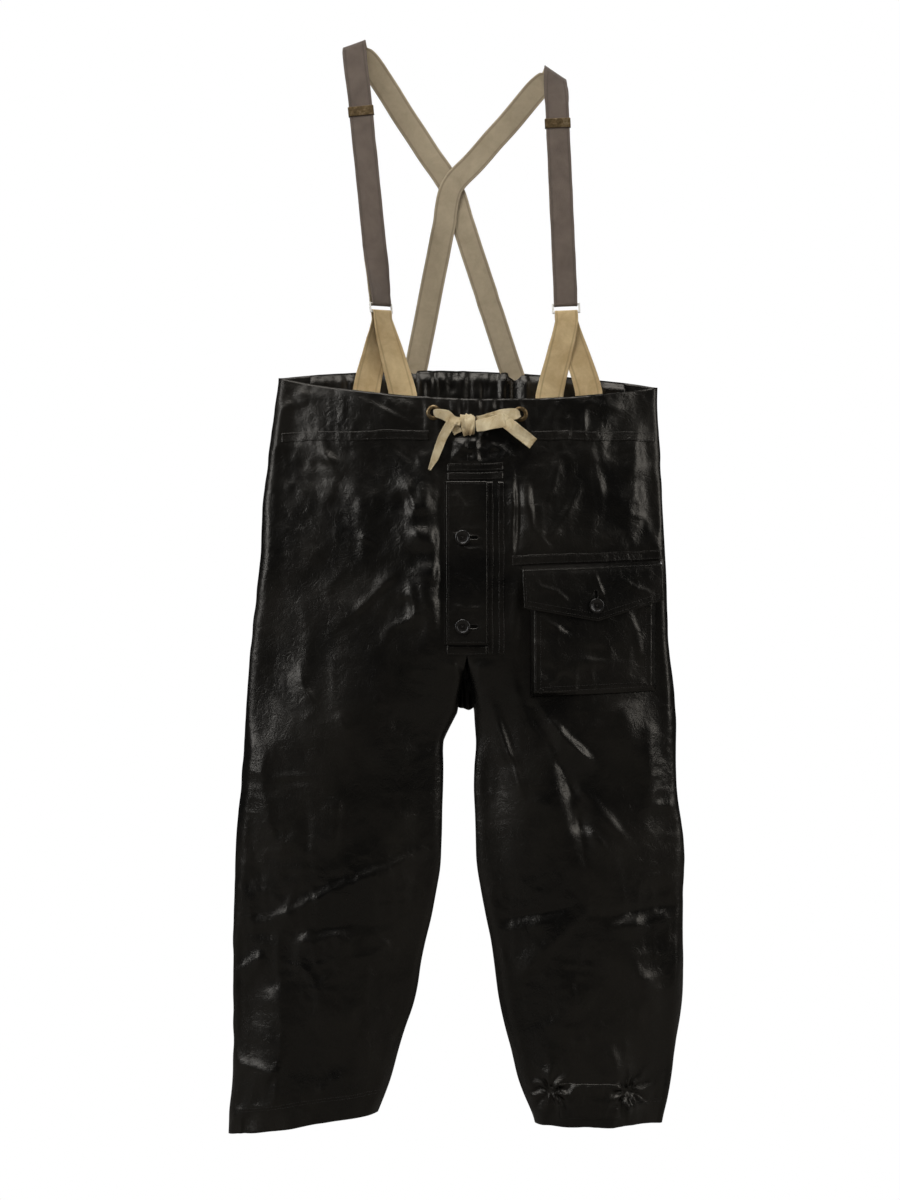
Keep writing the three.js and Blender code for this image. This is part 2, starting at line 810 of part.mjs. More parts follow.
const braces = {
  right: {
    waist: 64,
    waistTurn: 18, // how far each run leans, in degrees
    crossing: [-22, -170],
    crossingLayer: 1, // behind the other brace
    topBack: [-136, 0],
    archTop: [-155, 22],
    archTurn: 20,
    bend: [-147.5, -50],
    ring: [-118, -344],
    ringFace: -31,
    ringTurn: 38,
    slide: -73,
    tabFeet: [-87.5, -138],
  },
  left: {
    waist: -74,
    waistTurn: -11,
    crossing: [-22, -170],
    crossingLayer: -1,
    topBack: [102.5, -31],
    archTop: [120, -17],
    archTurn: -34,
    bend: [121.5, -62],
    ring: [133, -344],
    ringFace: -27,
    ringTurn: 0,
    slide: -89,
    tabFeet: [111, 164],
  },
};

function leaning(degrees) {
  const lean = THREE.MathUtils.degToRad(degrees);
  return vector(Math.cos(lean), 0, Math.sin(lean));
}

// A direction across a band, leant along the cloth that it lies on.
function alongCloth(across, x, z, face) {
  return across.clone().setY(face * faceSlope(x, z) * across.x);
}

function insideCasing(x, z, face, thickness) {
  return face * (outerFace(x, z) - cloth - clearance * 1.5 - thickness / 2);
}

// The straight front run of a brace: its direction, the direction across it, and its front normal.
function frontRun(brace) {
  const top = vector(brace.bend[0], brace.ringFace * 0.45, brace.bend[1]);
  const foot = vector(brace.ring[0], brace.ringFace - wrapRadius, brace.ring[1] + ringHeight / 2);
  const down = foot.clone().sub(top).normalize();
  const across = vector(1, 0, 0);
  across.addScaledVector(down, -across.dot(down)).normalize();
  const out = new THREE.Vector3().crossVectors(down, across).negate();
  if (out.y > 0) out.negate();
  return { top, foot, down, across, out };
}

function strapStops(brace) {
  const run = frontRun(brace);
  const width = strapWidth;
  const arch = leaning(brace.archTurn);
  const archUp = vector(-arch.z, 0, arch.x);
  const archCentre = vector(brace.archTop[0], 0, brace.archTop[1]).addScaledVector(archUp, -archRadius);
  const waistZ = waistEdgeAt(back, brace.waist);
  const waistAcross = leaning(brace.waistTurn);
  const stops = [];
  const stop = (at, across) => stops.push({ at, across, width });
  const slant = 1 / arch.x; // how much wider a slanting row is than the band

  const waistStep = (drop) => {
    const x = brace.waist + drop * Math.tan((brace.waistTurn * Math.PI) / 180);
    return vector(x, insideCasing(x, waistZ, back, strapThickness), waistZ - drop);
  };
  const sewnAcross = alongCloth(waistAcross, brace.waist, waistZ, back);
  stop(waistStep(22), sewnAcross);
  stop(waistStep(-4), sewnAcross);
  const crossY = crossingFace + brace.crossingLayer * crossingPitch;
  const crossing = vector(brace.crossing[0], crossY, brace.crossing[1]);
  const lower = waistStep(-4);
  stop(lower.clone().lerp(crossing, 0.5), waistAcross);
  stop(lower.clone().lerp(crossing, 0.8).setY(mix(lower.y, crossing.y, 0.85)), waistAcross);
  const upperAcross = leaning(brace.archTurn * 1.35 + brace.waistTurn * 0.35);
  stop(crossing, waistAcross.clone().lerp(upperAcross, 0.5).normalize());
  const topBack = vector(brace.topBack[0], archRadius + 1, brace.topBack[1]);
  stop(crossing.clone().lerp(topBack, 0.25), upperAcross);
  stop(crossing.clone().lerp(topBack, 0.6), upperAcross);
  stop(topBack, upperAcross.clone().lerp(arch, 0.6).normalize());

  // Over the bar: up behind it squarely, then down in front of it upright, with the rows still slanting.
  for (const angle of [0, 36, 60, 84, 108, 132, 156, 180]) {
    const turn = THREE.MathUtils.degToRad(angle);
    const forward = vector(0, archRadius * Math.cos(turn), 0);
    const top = archCentre.clone().addScaledVector(archUp, archRadius);
    const square = archCentre.clone().addScaledVector(archUp, archRadius * Math.sin(turn));
    const upright = top.add(vector(0, 0, -archRadius * slant * (1 - Math.sin(turn))));
    const at = (angle < 90 ? square : upright).add(forward);
    stops.push({ at, across: arch, skewed: true, width: width * mix(1, slant, angle / 180) });
  }
  stop(run.top, run.across);
  stop(run.top.clone().addScaledVector(run.down, 10), run.across);
  stop(run.top.clone().lerp(run.foot, 0.35), run.across);
  stop(run.top.clone().lerp(run.foot, 0.72), run.across);

  // The ring turns the webbing's lower end about the run.
  const ringAcross = run.across.clone().applyAxisAngle(run.down, THREE.MathUtils.degToRad(-brace.ringTurn));
  const ringOut = run.out.clone().applyAxisAngle(run.down, THREE.MathUtils.degToRad(-brace.ringTurn));
  const bar = run.foot.clone().addScaledVector(run.out, -wrapRadius);
  const around = (out, drop) => bar.clone().addScaledVector(ringOut, out).addScaledVector(run.down, drop);
  const gentle = run.across.clone().lerp(ringAcross, 0.6).normalize();
  stop(around(wrapRadius - 0.6, -38), gentle);
  stop(around(wrapRadius, -12), ringAcross);
  stop(around(wrapRadius, 0), ringAcross);
  stop(around(wrapRadius * 0.7, wrapRadius * 0.7), ringAcross);
  stop(around(0, wrapRadius), ringAcross);
  stop(around(-wrapRadius * 0.7, wrapRadius * 0.7), ringAcross);
  stop(around(-wrapRadius, 0), ringAcross);
  stop(around(-wrapRadius, -12), ringAcross);
  stop(around(wrapRadius - 0.6 - webbingPitch - 0.5, -38), gentle);

  // Back up behind the front run, to end inside the slide.
  const behind = (share) => run.top.clone().lerp(run.foot, share).addScaledVector(run.out, -webbingPitch);
  stop(behind(0.72), run.across);
  stop(behind(0.35), run.across);
  const slideShare = (brace.slide - run.top.z) / (run.foot.z - run.top.z);
  stop(behind(slideShare), run.across);
  return { stops, run, bar, ringAcross, ringOut, slideShare };
}

// Puts a geometry made around the origin, x across, y along and z out, onto a brace.
function placed(geometry, across, out, at) {
  const along = new THREE.Vector3().crossVectors(out, across);
  return geometry.applyMatrix4(new THREE.Matrix4().makeBasis(across, along, out).setPosition(at));
}

function frame(width, height, depth, windowWidth, windowHeight, windowDepth) {
  return [
    new THREE.BoxGeometry(width, height, depth),
    new THREE.BoxGeometry(windowWidth, windowHeight, windowDepth),
  ];
}

for (const side of sides) {
  const brace = braces[side];
  const { stops, run, bar, ringAcross, ringOut, slideShare } = strapStops(brace);
  add(`strap_${side}`, "webbing", ribbon(stops, strapThickness, 2));

  // Ring: a flat wire loop, its upper bar inside the webbing's turn.
  const ringWidth = strapWidth + ringSpare;
  const window = [ringWidth - 2 * ringWire, ringHeight - 2 * ringWire, 2 * ringWire];
  const ringCentre = bar.clone().addScaledVector(run.down, (ringHeight - ringWire) / 2);
  const ring = cut(...frame(ringWidth, ringHeight, ringWire, ...window));
  add(`ring_${side}`, "ringMetal", placed(ring, ringAcross, ringOut, ringCentre));

  // Slide: a flat sleeve round both layers of the webbing.
  const layers = strapThickness + webbingPitch;
  const windowDepth = layers + 2 * clearance;
  const slideWidth = strapWidth + 2 * clearance + 2 * slideWall;
  const slideDepth = windowDepth + 2 * slideWall;
  const sleeve = cut(
    ...frame(slideWidth, slideHeight, slideDepth, strapWidth + 2 * clearance, slideHeight * 2, windowDepth),
  );
  const slideCentre = run.top
    .clone()
    .lerp(run.foot, slideShare)
    .addScaledVector(run.out, -webbingPitch / 2);
  add(`slide_${side}`, "brass", placed(sleeve, run.across, run.out, slideCentre));

  // The webbing's end, folded round the slide and sewn down behind it.
  const endLength = 22;
  const endCentre = slideCentre
    .clone()
    .addScaledVector(run.down, slideHeight / 2 + clearance + endLength / 2)
    .addScaledVector(run.out, -webbingPitch / 2 - webbingPitch);
  const end = closed(new THREE.BoxGeometry(strapWidth, endLength, strapThickness));
  add(`strap_end_${side}`, "webbing", placed(end, run.across, run.out, endCentre));

  // Tab: one tape through the ring, both ends sewn into the waist casing.
  const tabBar = ringCentre.clone().addScaledVector(run.down, (ringHeight - ringWire) / 2);
  const tabTurn = wireCorner + clearance + tabThickness / 2;
  const atRing = strapWidth - 1;
  const around = (out, drop) =>
    tabBar.clone().addScaledVector(ringOut, out).addScaledVector(run.down, drop);
  const foot = (x, drop) => {
    const z = waistEdgeAt(front, x) - drop;
    return vector(x, insideCasing(x, z, front, tabThickness), z);
  };
  const lean = (x) => {
    const edge = foot(x, 0);
    const across = vector(tabBar.z - edge.z, 0, edge.x - tabBar.x).normalize();
    return alongCloth(across, edge.x, edge.z, front);
  };
  const [innerX, outerX] = brace.tabFeet;
  const tabStops = [
    { at: foot(innerX, tabSewn), across: lean(innerX), width: tabWidth },
    { at: foot(innerX, -3), across: lean(innerX), width: tabWidth },
    { at: around(tabTurn, 12), across: ringAcross, width: atRing },
    { at: around(tabTurn, 0), across: ringAcross, width: atRing },
    { at: around(tabTurn * 0.7, -tabTurn * 0.7), across: ringAcross, width: atRing },
    { at: around(0, -tabTurn), across: ringAcross, width: atRing },
    { at: around(-tabTurn * 0.7, -tabTurn * 0.7), across: ringAcross, width: atRing },
    { at: around(-tabTurn, 0), across: ringAcross, width: atRing },
    { at: around(-tabTurn, 12), across: ringAcross, width: atRing },
    { at: foot(outerX, -3), across: lean(outerX), width: tabWidth },
    { at: foot(outerX, tabSewn), across: lean(outerX), width: tabWidth },
  ];
  add(`ring_tab_${side}`, "cotton", ribbon(tabStops, tabThickness, 2));
}

// Thread that holds the two braces together where they cross, seen behind the nearer one.
const crossThread = 1;
add(
  "cross_stitching",
  "thread",
  closed(new THREE.BoxGeometry(18, crossThread, 4)).translate(
    braces.right.crossing[0],
    crossingFace + crossingPitch + strapThickness / 2 + clearance + crossThread / 2,
    braces.right.crossing[1],
  ),
);

// ---- Cuffs: the hem turned in, and the left cuff's gathering tab --------------------------------

for (const side of sides) {
  for (const [name, face] of [["front", front], ["back", back]]) {
    const rows = 2;
    const geometry = slab(10, rows, (across, down, through) => {
      const share = mix(0.06, 0.94, across);
      const z = cuffHeight + mix(hemHeight, 1, down);
      const { outer, inner, depth } = cutAt(side, z);
      const x = mix(inner, outer, share);
      const out = depthAt(share, z, depth) - 2 * clearance - cloth * (1 + through);
      return vector(x, face * out, z + cuffEdge(side, share) * mix(0.4, 1, down));
    });
    add(`hem_${name}_${side}`, "coated", geometry);
  }
}

const cuffTab = { left: 124, right: 208, top: cuffHeight + 60, bottom: cuffHeight + 12 };
add(
  "cuff_tab_left",
  "coated",
  patch({
    face: front,
    left: cuffTab.left,
    right: cuffTab.right,
    top: constant(cuffTab.top),
    bottom: constant(cuffTab.bottom),
    lift: constant(2 * clearance),
    thickness: cloth,
    columns: 5,
    rows: 2,
  }),
);
const cuffTacks = { cuff_tack_inner_left: cuffTab.left - 11, cuff_tack_outer_left: cuffTab.right + 9 };
for (const [name, x] of Object.entries(cuffTacks)) {
  const tack = new THREE.CylinderGeometry(tackRadius + 1, tackRadius + 1, tackThickness, 12);
  const seated = closed(tack).translate(0, -tackThickness / 2 - 2 * clearance, 0);
  add(name, "seamTape", ontoFront(seated, x, cuffTab.top - 10));
}

export default pants;
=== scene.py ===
import math

import bmesh
import bpy
import numpy as np
from mathutils import Matrix, Vector


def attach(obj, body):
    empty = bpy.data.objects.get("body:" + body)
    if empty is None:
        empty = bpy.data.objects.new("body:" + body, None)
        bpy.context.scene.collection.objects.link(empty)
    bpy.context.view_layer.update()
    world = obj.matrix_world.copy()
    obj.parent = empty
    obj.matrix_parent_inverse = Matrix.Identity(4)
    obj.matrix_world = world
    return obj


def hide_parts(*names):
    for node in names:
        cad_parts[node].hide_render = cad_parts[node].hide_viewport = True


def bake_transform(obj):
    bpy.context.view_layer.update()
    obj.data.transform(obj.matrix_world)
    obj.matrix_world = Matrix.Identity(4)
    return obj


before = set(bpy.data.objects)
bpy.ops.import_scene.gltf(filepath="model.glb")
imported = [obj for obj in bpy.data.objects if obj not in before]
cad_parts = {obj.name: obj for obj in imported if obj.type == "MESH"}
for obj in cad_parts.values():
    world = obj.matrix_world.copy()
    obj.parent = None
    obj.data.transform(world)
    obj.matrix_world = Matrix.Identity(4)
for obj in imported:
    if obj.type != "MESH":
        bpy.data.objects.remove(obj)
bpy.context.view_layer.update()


# ---- Studio ------------------------------------------------------------------------------------
# A pale floor under the hanging trousers, wide soft lamps above and at both sides, and a white room.
# The room shows white behind the trousers but gives little light, so the black cloth stays dark.
bpy.ops.object.select_all(action="DESELECT")
bpy.ops.object.camera_add(location=(-0.024, -2.745, -0.738), rotation=(math.pi / 2, 0, 0))
camera = bpy.context.object
camera.name = "studio_camera"
camera.data.sensor_fit = "AUTO"
camera.data.lens = 60.2
bpy.context.scene.camera = camera
bpy.context.scene.view_settings.view_transform = "Standard"


def soft_lamp(name, place, aim, size, power, colour):
    bpy.ops.object.light_add(type="AREA", location=place)
    lamp = bpy.context.object
    lamp.name = name
    lamp.rotation_euler = (Vector(aim) - Vector(place)).to_track_quat("-Z", "Y").to_euler()
    lamp.data.shape = "RECTANGLE"
    lamp.data.size, lamp.data.size_y = size
    lamp.data.energy = power
    lamp.data.color = colour


soft_lamp("lamp_above", (-0.5, -1.5, 2.1), (0, 0, -0.7), (2.6, 1.6), 74, (1.0, 0.985, 0.97))
soft_lamp("lamp_left", (-2.3, -1.5, 0.3), (0, 0, -0.7), (0.8, 2.2), 34, (0.97, 0.98, 1.0))
soft_lamp("lamp_right", (2.4, -1.3, 0.2), (0, 0, -0.7), (0.8, 2.2), 26, (1.0, 0.98, 0.95))
soft_lamp("lamp_behind", (0.6, 2.3, 1.5), (0, 0, -0.7), (2.6, 1.8), 90, (1.0, 0.99, 0.98))


def seen_or_lit(tree, giving_light, looked_at, out):
    """Shows one shader to the eye, and lights the trousers with the other."""
    eye = tree.nodes.new("ShaderNodeLightPath")
    either = tree.nodes.new("ShaderNodeMixShader")
    tree.links.new(eye.outputs["Is Camera Ray"], either.inputs["Fac"])
    tree.links.new(giving_light.outputs[0], either.inputs[1])
    tree.links.new(looked_at.outputs[0], either.inputs[2])
    tree.links.new(either.outputs[0], out.inputs["Surface"])


room = bpy.data.worlds.new("white_room")
bpy.context.scene.world = room
room.use_nodes = True
seen, lit = room.node_tree.nodes["Background"], room.node_tree.nodes.new("ShaderNodeBackground")
seen.inputs["Color"].default_value = (1, 1, 1, 1)
lit.inputs["Color"].default_value = (0.95, 0.97, 1.0, 1)
lit.inputs["Strength"].default_value = 0.035
seen_or_lit(room.node_tree, lit, seen, room.node_tree.nodes["World Output"])

bpy.ops.mesh.primitive_plane_add(size=9, location=(0, -0.5, -1.56))
floor = bpy.context.object
floor.name = "studio_floor"
paint = bpy.data.materials.new("pale_floor")
paint.use_nodes = True
floor_shader = paint.node_tree.nodes["Principled BSDF"]
floor_shader.inputs["Base Color"].default_value = (0.2, 0.19, 0.175, 1)
floor_shader.inputs["Roughness"].default_value = 0.8
pale = paint.node_tree.nodes.new("ShaderNodeEmission")
seen_or_lit(paint.node_tree, floor_shader, pale, paint.node_tree.nodes["Material Output"])
floor.data.materials.append(paint)


# ---- Lines and bands ---------------------------------------------------------------------------
# Smooth lines through stops, pieces from points, and flat woven bands, for the drawstring, bow and braces.
# The drawstring is a flat braid of natural cotton, 19 mm wide. Its two free ends hang from the bow,
# the right one thinning to a point and the left one folded open and cut on the slant.
def curve_points(points, per_span):
    """Points and directions along a smooth line through the stops, with per_span steps between stops."""
    p = np.array(points, float)
    p = np.vstack([2 * p[0] - p[1], p, 2 * p[-1] - p[-2]])
    out, way = [], []
    for i in range(1, len(p) - 2):
        a, b, c, d = p[i - 1 : i + 3]
        gap = [max(np.linalg.norm(q - r) ** 0.5, 1e-4) for q, r in ((b, a), (c, b), (d, c))]
        m1 = ((b - a) / gap[0] - (c - a) / (gap[0] + gap[1]) + (c - b) / gap[1]) * gap[1]
        m2 = ((c - b) / gap[1] - (d - b) / (gap[1] + gap[2]) + (d - c) / gap[2]) * gap[1]
        last = i == len(p) - 3
        t = np.linspace(0, 1, per_span + 1)[: per_span + (1 if last else 0), None]
        start = (2 * t**3 - 3 * t**2 + 1) * b + (t**3 - 2 * t**2 + t) * m1
        out.append(start + (3 * t**2 - 2 * t**3) * c + (t**3 - t**2) * m2)
        way.append((6 * t**2 - 6 * t) * (b - c) + (3 * t**2 - 4 * t + 1) * m1 + (3 * t**2 - 2 * t) * m2)
    way = np.vstack(way)
    return np.vstack(out), way / np.linalg.norm(way, axis=1, keepdims=True)


def mesh_piece(name, points, faces, uv=None, material_of=None):
    """A piece from points in millimetres. uv holds one pair for each point, in metres along the cloth."""
    mesh = bpy.data.meshes.new(name)
    mesh.from_pydata((np.asarray(points) * 0.001).tolist(), [], [list(map(int, f)) for f in faces])
    if uv is not None:
        corner = np.zeros(len(mesh.loops), np.int32)
        mesh.loops.foreach_get("vertex_index", corner)
        layer = mesh.uv_layers.new(name="UVMap")
        layer.data.foreach_set("uv", np.asarray(uv, np.float32)[corner].ravel())
    if material_of is not None:
        mesh.polygons.foreach_set("material_index", np.asarray(material_of, np.int32))
    mesh.polygons.foreach_set("use_smooth", np.ones(len(mesh.polygons), bool))
    mesh.update()
    piece = bpy.data.objects.new(name, mesh)
    bpy.context.collection.objects.link(piece)
    return piece


def band(name, stops, thickness, per_span, shape=None, sag=0.0, seed=1):
    """A flat woven band. Each stop is a point, the way across, the width, and whether its row is skewed."""
    line, way = curve_points([s[0] for s in stops], per_span)
    spans = len(stops) - 1
    place = np.minimum(np.arange(len(line)) / per_span, spans)
    low = np.minimum(place.astype(int), spans - 1)
    share = (place - low)[:, None]

    def row(k):
        across = np.array([stops[i][1] for i in k], float)
        square = across - way * (across * way).sum(1, keepdims=True)
        skewed = np.array([len(stops[i]) > 3 and stops[i][3] for i in k])[:, None]
        across = np.where(skewed, across, square)
        return across / np.linalg.norm(across, axis=1, keepdims=True)

    across = row(low) * (1 - share) + row(low + 1) * share
    across /= np.linalg.norm(across, axis=1, keepdims=True)
    out = np.cross(way, across)
    out /= np.linalg.norm(out, axis=1, keepdims=True)
    width = np.array([s[2] for s in stops], float)
    width = width[low] * (1 - share[:, 0]) + width[low + 1] * share[:, 0]
    along = np.concatenate([[0], np.cumsum(np.linalg.norm(np.diff(line, axis=0), axis=1))])
    if shape is not None:
        across, out, width, line = shape(line, across, out, width, along)
    # The section is thin, with a thick selvedge along both edges, round at its sides.
    side = np.array([-0.5, -0.49, -0.46, -0.42, -0.3, -0.1, 0.1, 0.3, 0.42, 0.46, 0.49, 0.5])
    full = np.array([0, 0.72, 1.1, 0.9, 0.82, 0.8, 0.8, 0.82, 0.9, 1.1, 0.72, 0]) * thickness / 2
    ring_u = np.concatenate([side, side[-2:0:-1]])
    ring_t = np.concatenate([full, -full[-2:0:-1]])
    n, m = len(line), len(ring_u)
    rng = np.random.default_rng(seed)
    knots = np.arange(0, along[-1] + 30, 15)
    wave = np.interp(along, knots, rng.normal(0, 0.22, len(knots)))
    cup = sag * (1 - (2 * ring_u) ** 2)
    points = (
        line[:, None]
        + across[:, None] * (ring_u[None, :, None] * width[:, None, None])
        + out[:, None] * ((ring_t + cup)[None, :, None])
        + across[:, None] * wave[:, None, None]
    )
    uv = np.stack(np.broadcast_arrays(ring_u[None] * width[:, None], along[:, None]), axis=-1) * 0.001
    grid = np.arange(n * m).reshape(n, m)
    nxt = np.roll(grid, -1, axis=1)
    faces = np.stack([grid[:-1], nxt[:-1], nxt[1:], grid[1:]], axis=-1).reshape(-1, 4)
    inner = np.tile((np.arange(m) >= len(side) - 1).astype(int), n - 1)
    caps = [grid[0][::-1].tolist(), grid[-1].tolist()]
    material_of = inner.tolist() + [0, 0]
    piece = mesh_piece(name, points.reshape(-1, 3), faces.tolist() + caps, uv.reshape(-1, 2), material_of)
    return piece, line, along


# ---- Trousers cloth ----------------------------------------------------------------------------
# Cotton coated on both sides with black rubber, 1.2 mm thick. Four pieces, a front and a back to each
# leg, meet in felled seams at the sides, the inner legs and the middle, and hang in their own creases.
heights = [-1452, -1402, -1289, -1172, -1101, -1007, -931, -892, -812, -668, -517, -441]
outer_edge = {-1: [-328, -324, -322, -322, -317, -312, -307, -304, -299, -284, -268.5, -259.5],
              1: [264, 280, 293, 295, 295, 289, 286, 284, 279, 272, 264.5, 259.5]}
inner_edge = {-1: [-129, -108, -74, -49, -36, -35, -34, -14, -1, 0, 0, 0],
              1: [96, 74, 42, 26, 12, 9, 11, 9, -1, 0, 0, 0]}
depths = [29, 29, 28, 23, 29, 32, 33, 33, 38, 38, 36, 36]
waist, cuff, half_waist, cloth_m = heights[-1], heights[0], outer_edge[1][-1], 0.0012

# Creases of the front and of the back: height, width, lean to one side, and the line each one follows.
front_creases = [
    (2.875, 9, 0, [(-245, -455), (-202, -460), (-172, -466)]),
    (2.3, 7, 0.3, [(-162, -460), (-113, -482), (-65, -506)]),
    (1.84, 7, 0, [(-118, -460), (-94, -478), (-75, -493)]),
    (2.76, 7, 0, [(-97, -468), (-78, -476), (-65, -485)]),
    (-2.3, 9, 0, [(-108, -525), (-85, -538), (-62, -557)]),
    (2.53, 12, 0, [(-245, -522), (-205, -537), (-167, -557)]),
    (3.22, 14, 0.3, [(-202, -490), (-197, -533), (-175, -581)]),
    (2.99, 10, 0.4, [(-250, -579), (-232, -584), (-215, -600)]),
    (2.76, 9, 0.5, [(-183, -573), (-186, -592), (-191, -611)]),
    (2.07, 9, 0, [(-127, -584), (-125, -607), (-128, -633)]),
    (2.07, 7, 0, [(-148, -649), (-132, -657), (-116, -665)]),
    (4.6, 9, -0.5, [(-186, -781), (-145, -747), (-112, -716), (-86, -692)]),
    (8.625, 26, 0.45, [(-67, -546), (-59, -603), (-54, -664), (-51, -738), (-48, -798)]),
    (4.025, 10, 0.3, [(-86, -563), (-73, -616), (-65, -670)]),
    (3.68, 9, 0.4, [(-81, -711), (-74, -743), (-70, -775)]),
    (-5.175, 9, 0, [(-34, -563), (-32, -630), (-31, -711), (-32, -798)]),
    (1.61, 7, 0, [(-277, -697), (-264, -699)]),
    (1.61, 7, 0, [(-291, -817), (-277, -829), (-267, -832)]),
    (2.53, 14, 0.2, [(-264, -630), (-226, -664), (-186, -684)]),
    (2.76, 16, 0, [(-159, -563), (-143, -630), (-137, -711)]),
    (2.3, 17, 0, [(-226, -724), (-218, -791), (-226, -872)]),
    (2.53, 5, 0, [(-59, -466), (-54, -485), (-57, -517)]),
    (2.76, 5, 0, [(-38, -466), (-32, -482)]),
    (3.22, 5, 0, [(-22, -467), (-19, -485)]),
    (2.99, 5, 0, [(-5, -467), (-3, -483)]),
    (3.335, 5, 0, [(13, -468), (15, -485)]),
    (2.875, 5, 0, [(32, -467), (34, -483)]),
    (3.335, 5, 0, [(51, -466), (52, -485), (57, -509)]),
    (2.53, 5, 0, [(69, -466), (75, -485), (83, -522)]),
    (2.76, 7, 0.3, [(-27, -520), (-3, -530), (22, -522)]),
    (-2.3, 5, 0.3, [(-16, -536), (16, -542), (51, -536)]),
    (2.76, 7, 0.3, [(27, -522), (43, -536), (67, -544)]),
    (2.3, 7, 0, [(-22, -549), (-8, -533), (0, -520)]),
    (2.3, 7, 0, [(46, -552), (54, -530), (51, -514)]),
    (5.29, 14, 0.3, [(75, -563), (79, -603), (87, -641), (98, -651), (101, -630), (94, -596)]),
    (3.22, 10, -0.3, [(156, -573), (140, -611), (116, -649), (104, -668)]),
    (2.76, 7, 0.2, [(139, -482), (137, -503), (133, -525)]),
    (2.53, 9, 0.2, [(151, -468), (186, -474), (221, -482)]),
    (6.9, 26, 0.3, [(232, -482), (229, -549), (223, -603), (213, -646)]),
    (3.91, 7, 0.4, [(59, -563), (62, -616), (59, -684)]),
    (-3.45, 7, 0, [(69, -568), (69, -630), (66, -692)]),
    (2.53, 10, 0.2, [(164, -522), (178, -576), (183, -630)]),
    (2.76, 10, -0.2, [(124, -536), (118, -576), (108, -610)]),
    (2.07, 4, 0.4, [(35, -603), (32, -657), (36, -738)]),
    (3.91, 10, 0.3, [(-30, -791), (-22, -821), (-8, -851)]),
    (3.91, 9, -0.3, [(24, -791), (19, -821), (11, -859)]),
    (-5.75, 10, 0, [(-11, -812), (-3, -845), (5, -883)]),
    (2.53, 10, 0, [(70, -692), (65, -738), (62, -805)]),
    (2.99, 14, 0.3, [(275, -657), (269, -738), (280, -818), (275, -899)]),
    (2.99, 9, 0.4, [(-230, -824), (-221, -859), (-205, -880)]),
    (2.28, 11, 0.3, [(-178, -887), (-168, -905), (-157, -922)]),
    (1.71, 6, 0.3, [(-267, -979), (-232, -976), (-198, -979)]),
    (-1.33, 5, 0, [(-261, -985), (-232, -983), (-202, -984)]),
    (3.61, 15, 0.5, [(-175, -993), (-179, -1042), (-187, -1093)]),
    (-1.9, 11, 0.4, [(-217, -996), (-218, -1061), (-217, -1120)]),
    (2.28, 13, 0, [(-217, -1050), (-237, -1063), (-264, -1084)]),
    (4.37, 19, 0.6, [(-318, -1187), (-262, -1176), (-207, -1147),
                         (-166, -1125), (-90, -1098), (-43, -1065)]),
    (-3.8, 13, 0, [(-318, -1193), (-267, -1190), (-226, -1186), (-172, -1182), (-75, -1179)]),
    (3.99, 22, 0.3, [(-232, -1201), (-188, -1195), (-145, -1201)]),
    (2.66, 11, 0.5, [(-136, -1182), (-118, -1203), (-100, -1211)]),
    (2.28, 11, 0.3, [(-171, -1233), (-143, -1222), (-109, -1214)]),
    (2.47, 13, 0.2, [(-318, -1249), (-299, -1236), (-275, -1217)]),
    (2.47, 11, 0.3, [(-318, -1366), (-283, -1373), (-245, -1384)]),
    (-2.28, 11, 0, [(-269, -1386), (-258, -1393)]),
    (2.28, 11, 0, [(-203, -1411), (-190, -1397), (-176, -1384)]),
    (2.85, 26, 0, [(-267, -1256), (-258, -1316), (-269, -1359)]),
    (3.23, 30, 0.2, [(-172, -1256), (-159, -1316), (-156, -1377)]),
    (2.85, 26, 0.2, [(-98, -926), (-92, -1007), (-97, -1074)]),
    (3.04, 30, 0, [(-277, -899), (-283, -993), (-277, -1088)]),
    (2.99, 17, 0, [(-125, -818), (-121, -899), (-129, -980)]),
    (6.9, 12, 0.45, [(19, -824), (30, -872), (44, -918), (62, -969), (79, -1023)]),
    (2.47, 11, 0, [(73, -1015), (97, -1012), (118, -1018)]),
    (3.68, 9, 0.4, [(58, -829), (67, -865), (85, -905), (109, -940)]),
    (-8.05, 16, 0, [(75, -859), (97, -902), (118, -942), (133, -973),
                         (145, -1007), (157, -1063), (171, -1155)]),
    (5.98, 12, 0.5, [(89, -872), (110, -902), (137, -931), (180, -969)]),
    (4.18, 15, 0.4, [(140, -983), (164, -1007), (188, -1034), (218, -1075)]),
    (3.42, 13, 0.3, [(157, -1042), (178, -1067), (201, -1098)]),
    (-3.42, 11, 0.3, [(34, -1178), (70, -1170), (104, -1163), (155, -1147)]),
    (3.42, 15, 0.3, [(40, -1190), (83, -1180), (124, -1168)]),
    (-3.42, 11, 0.2, [(164, -1172), (207, -1164), (252, -1158), (292, -1152)]),
    (3.8, 17, 0.3, [(178, -1187), (232, -1176), (285, -1166)]),
    (3.42, 15, 0.6, [(159, -1155), (127, -1193), (92, -1228), (58, -1265)]),
    (2.66, 15, 0.3, [(188, -1335), (202, -1373), (214, -1412)]),
    (1.9, 9, 0, [(139, -1343), (153, -1335), (167, -1333)]),
    (2.85, 9, 0.2, [(110, -1365), (110, -1401), (113, -1424)]),
    (2.47, 9, 0.2, [(89, -1381), (110, -1400), (132, -1384)]),
    (2.28, 9, 0.2, [(86, -1416), (110, -1404), (135, -1416)]),
    (2.85, 9, 0.2, [(223, -1397), (222, -1427), (232, -1454)]),
    (2.47, 9, 0, [(202, -1411), (222, -1424), (245, -1416)]),
    (2.47, 22, 0, [(232, -1222), (240, -1276), (234, -1330)]),
    (2.85, 26, 0.2, [(124, -1256), (137, -1303), (140, -1337)]),
    (3.45, 17, 0, [(245, -872), (250, -953), (245, -1047)]),
    (3.45, 19, 0, [(194, -818), (213, -899), (232, -953)]),
]
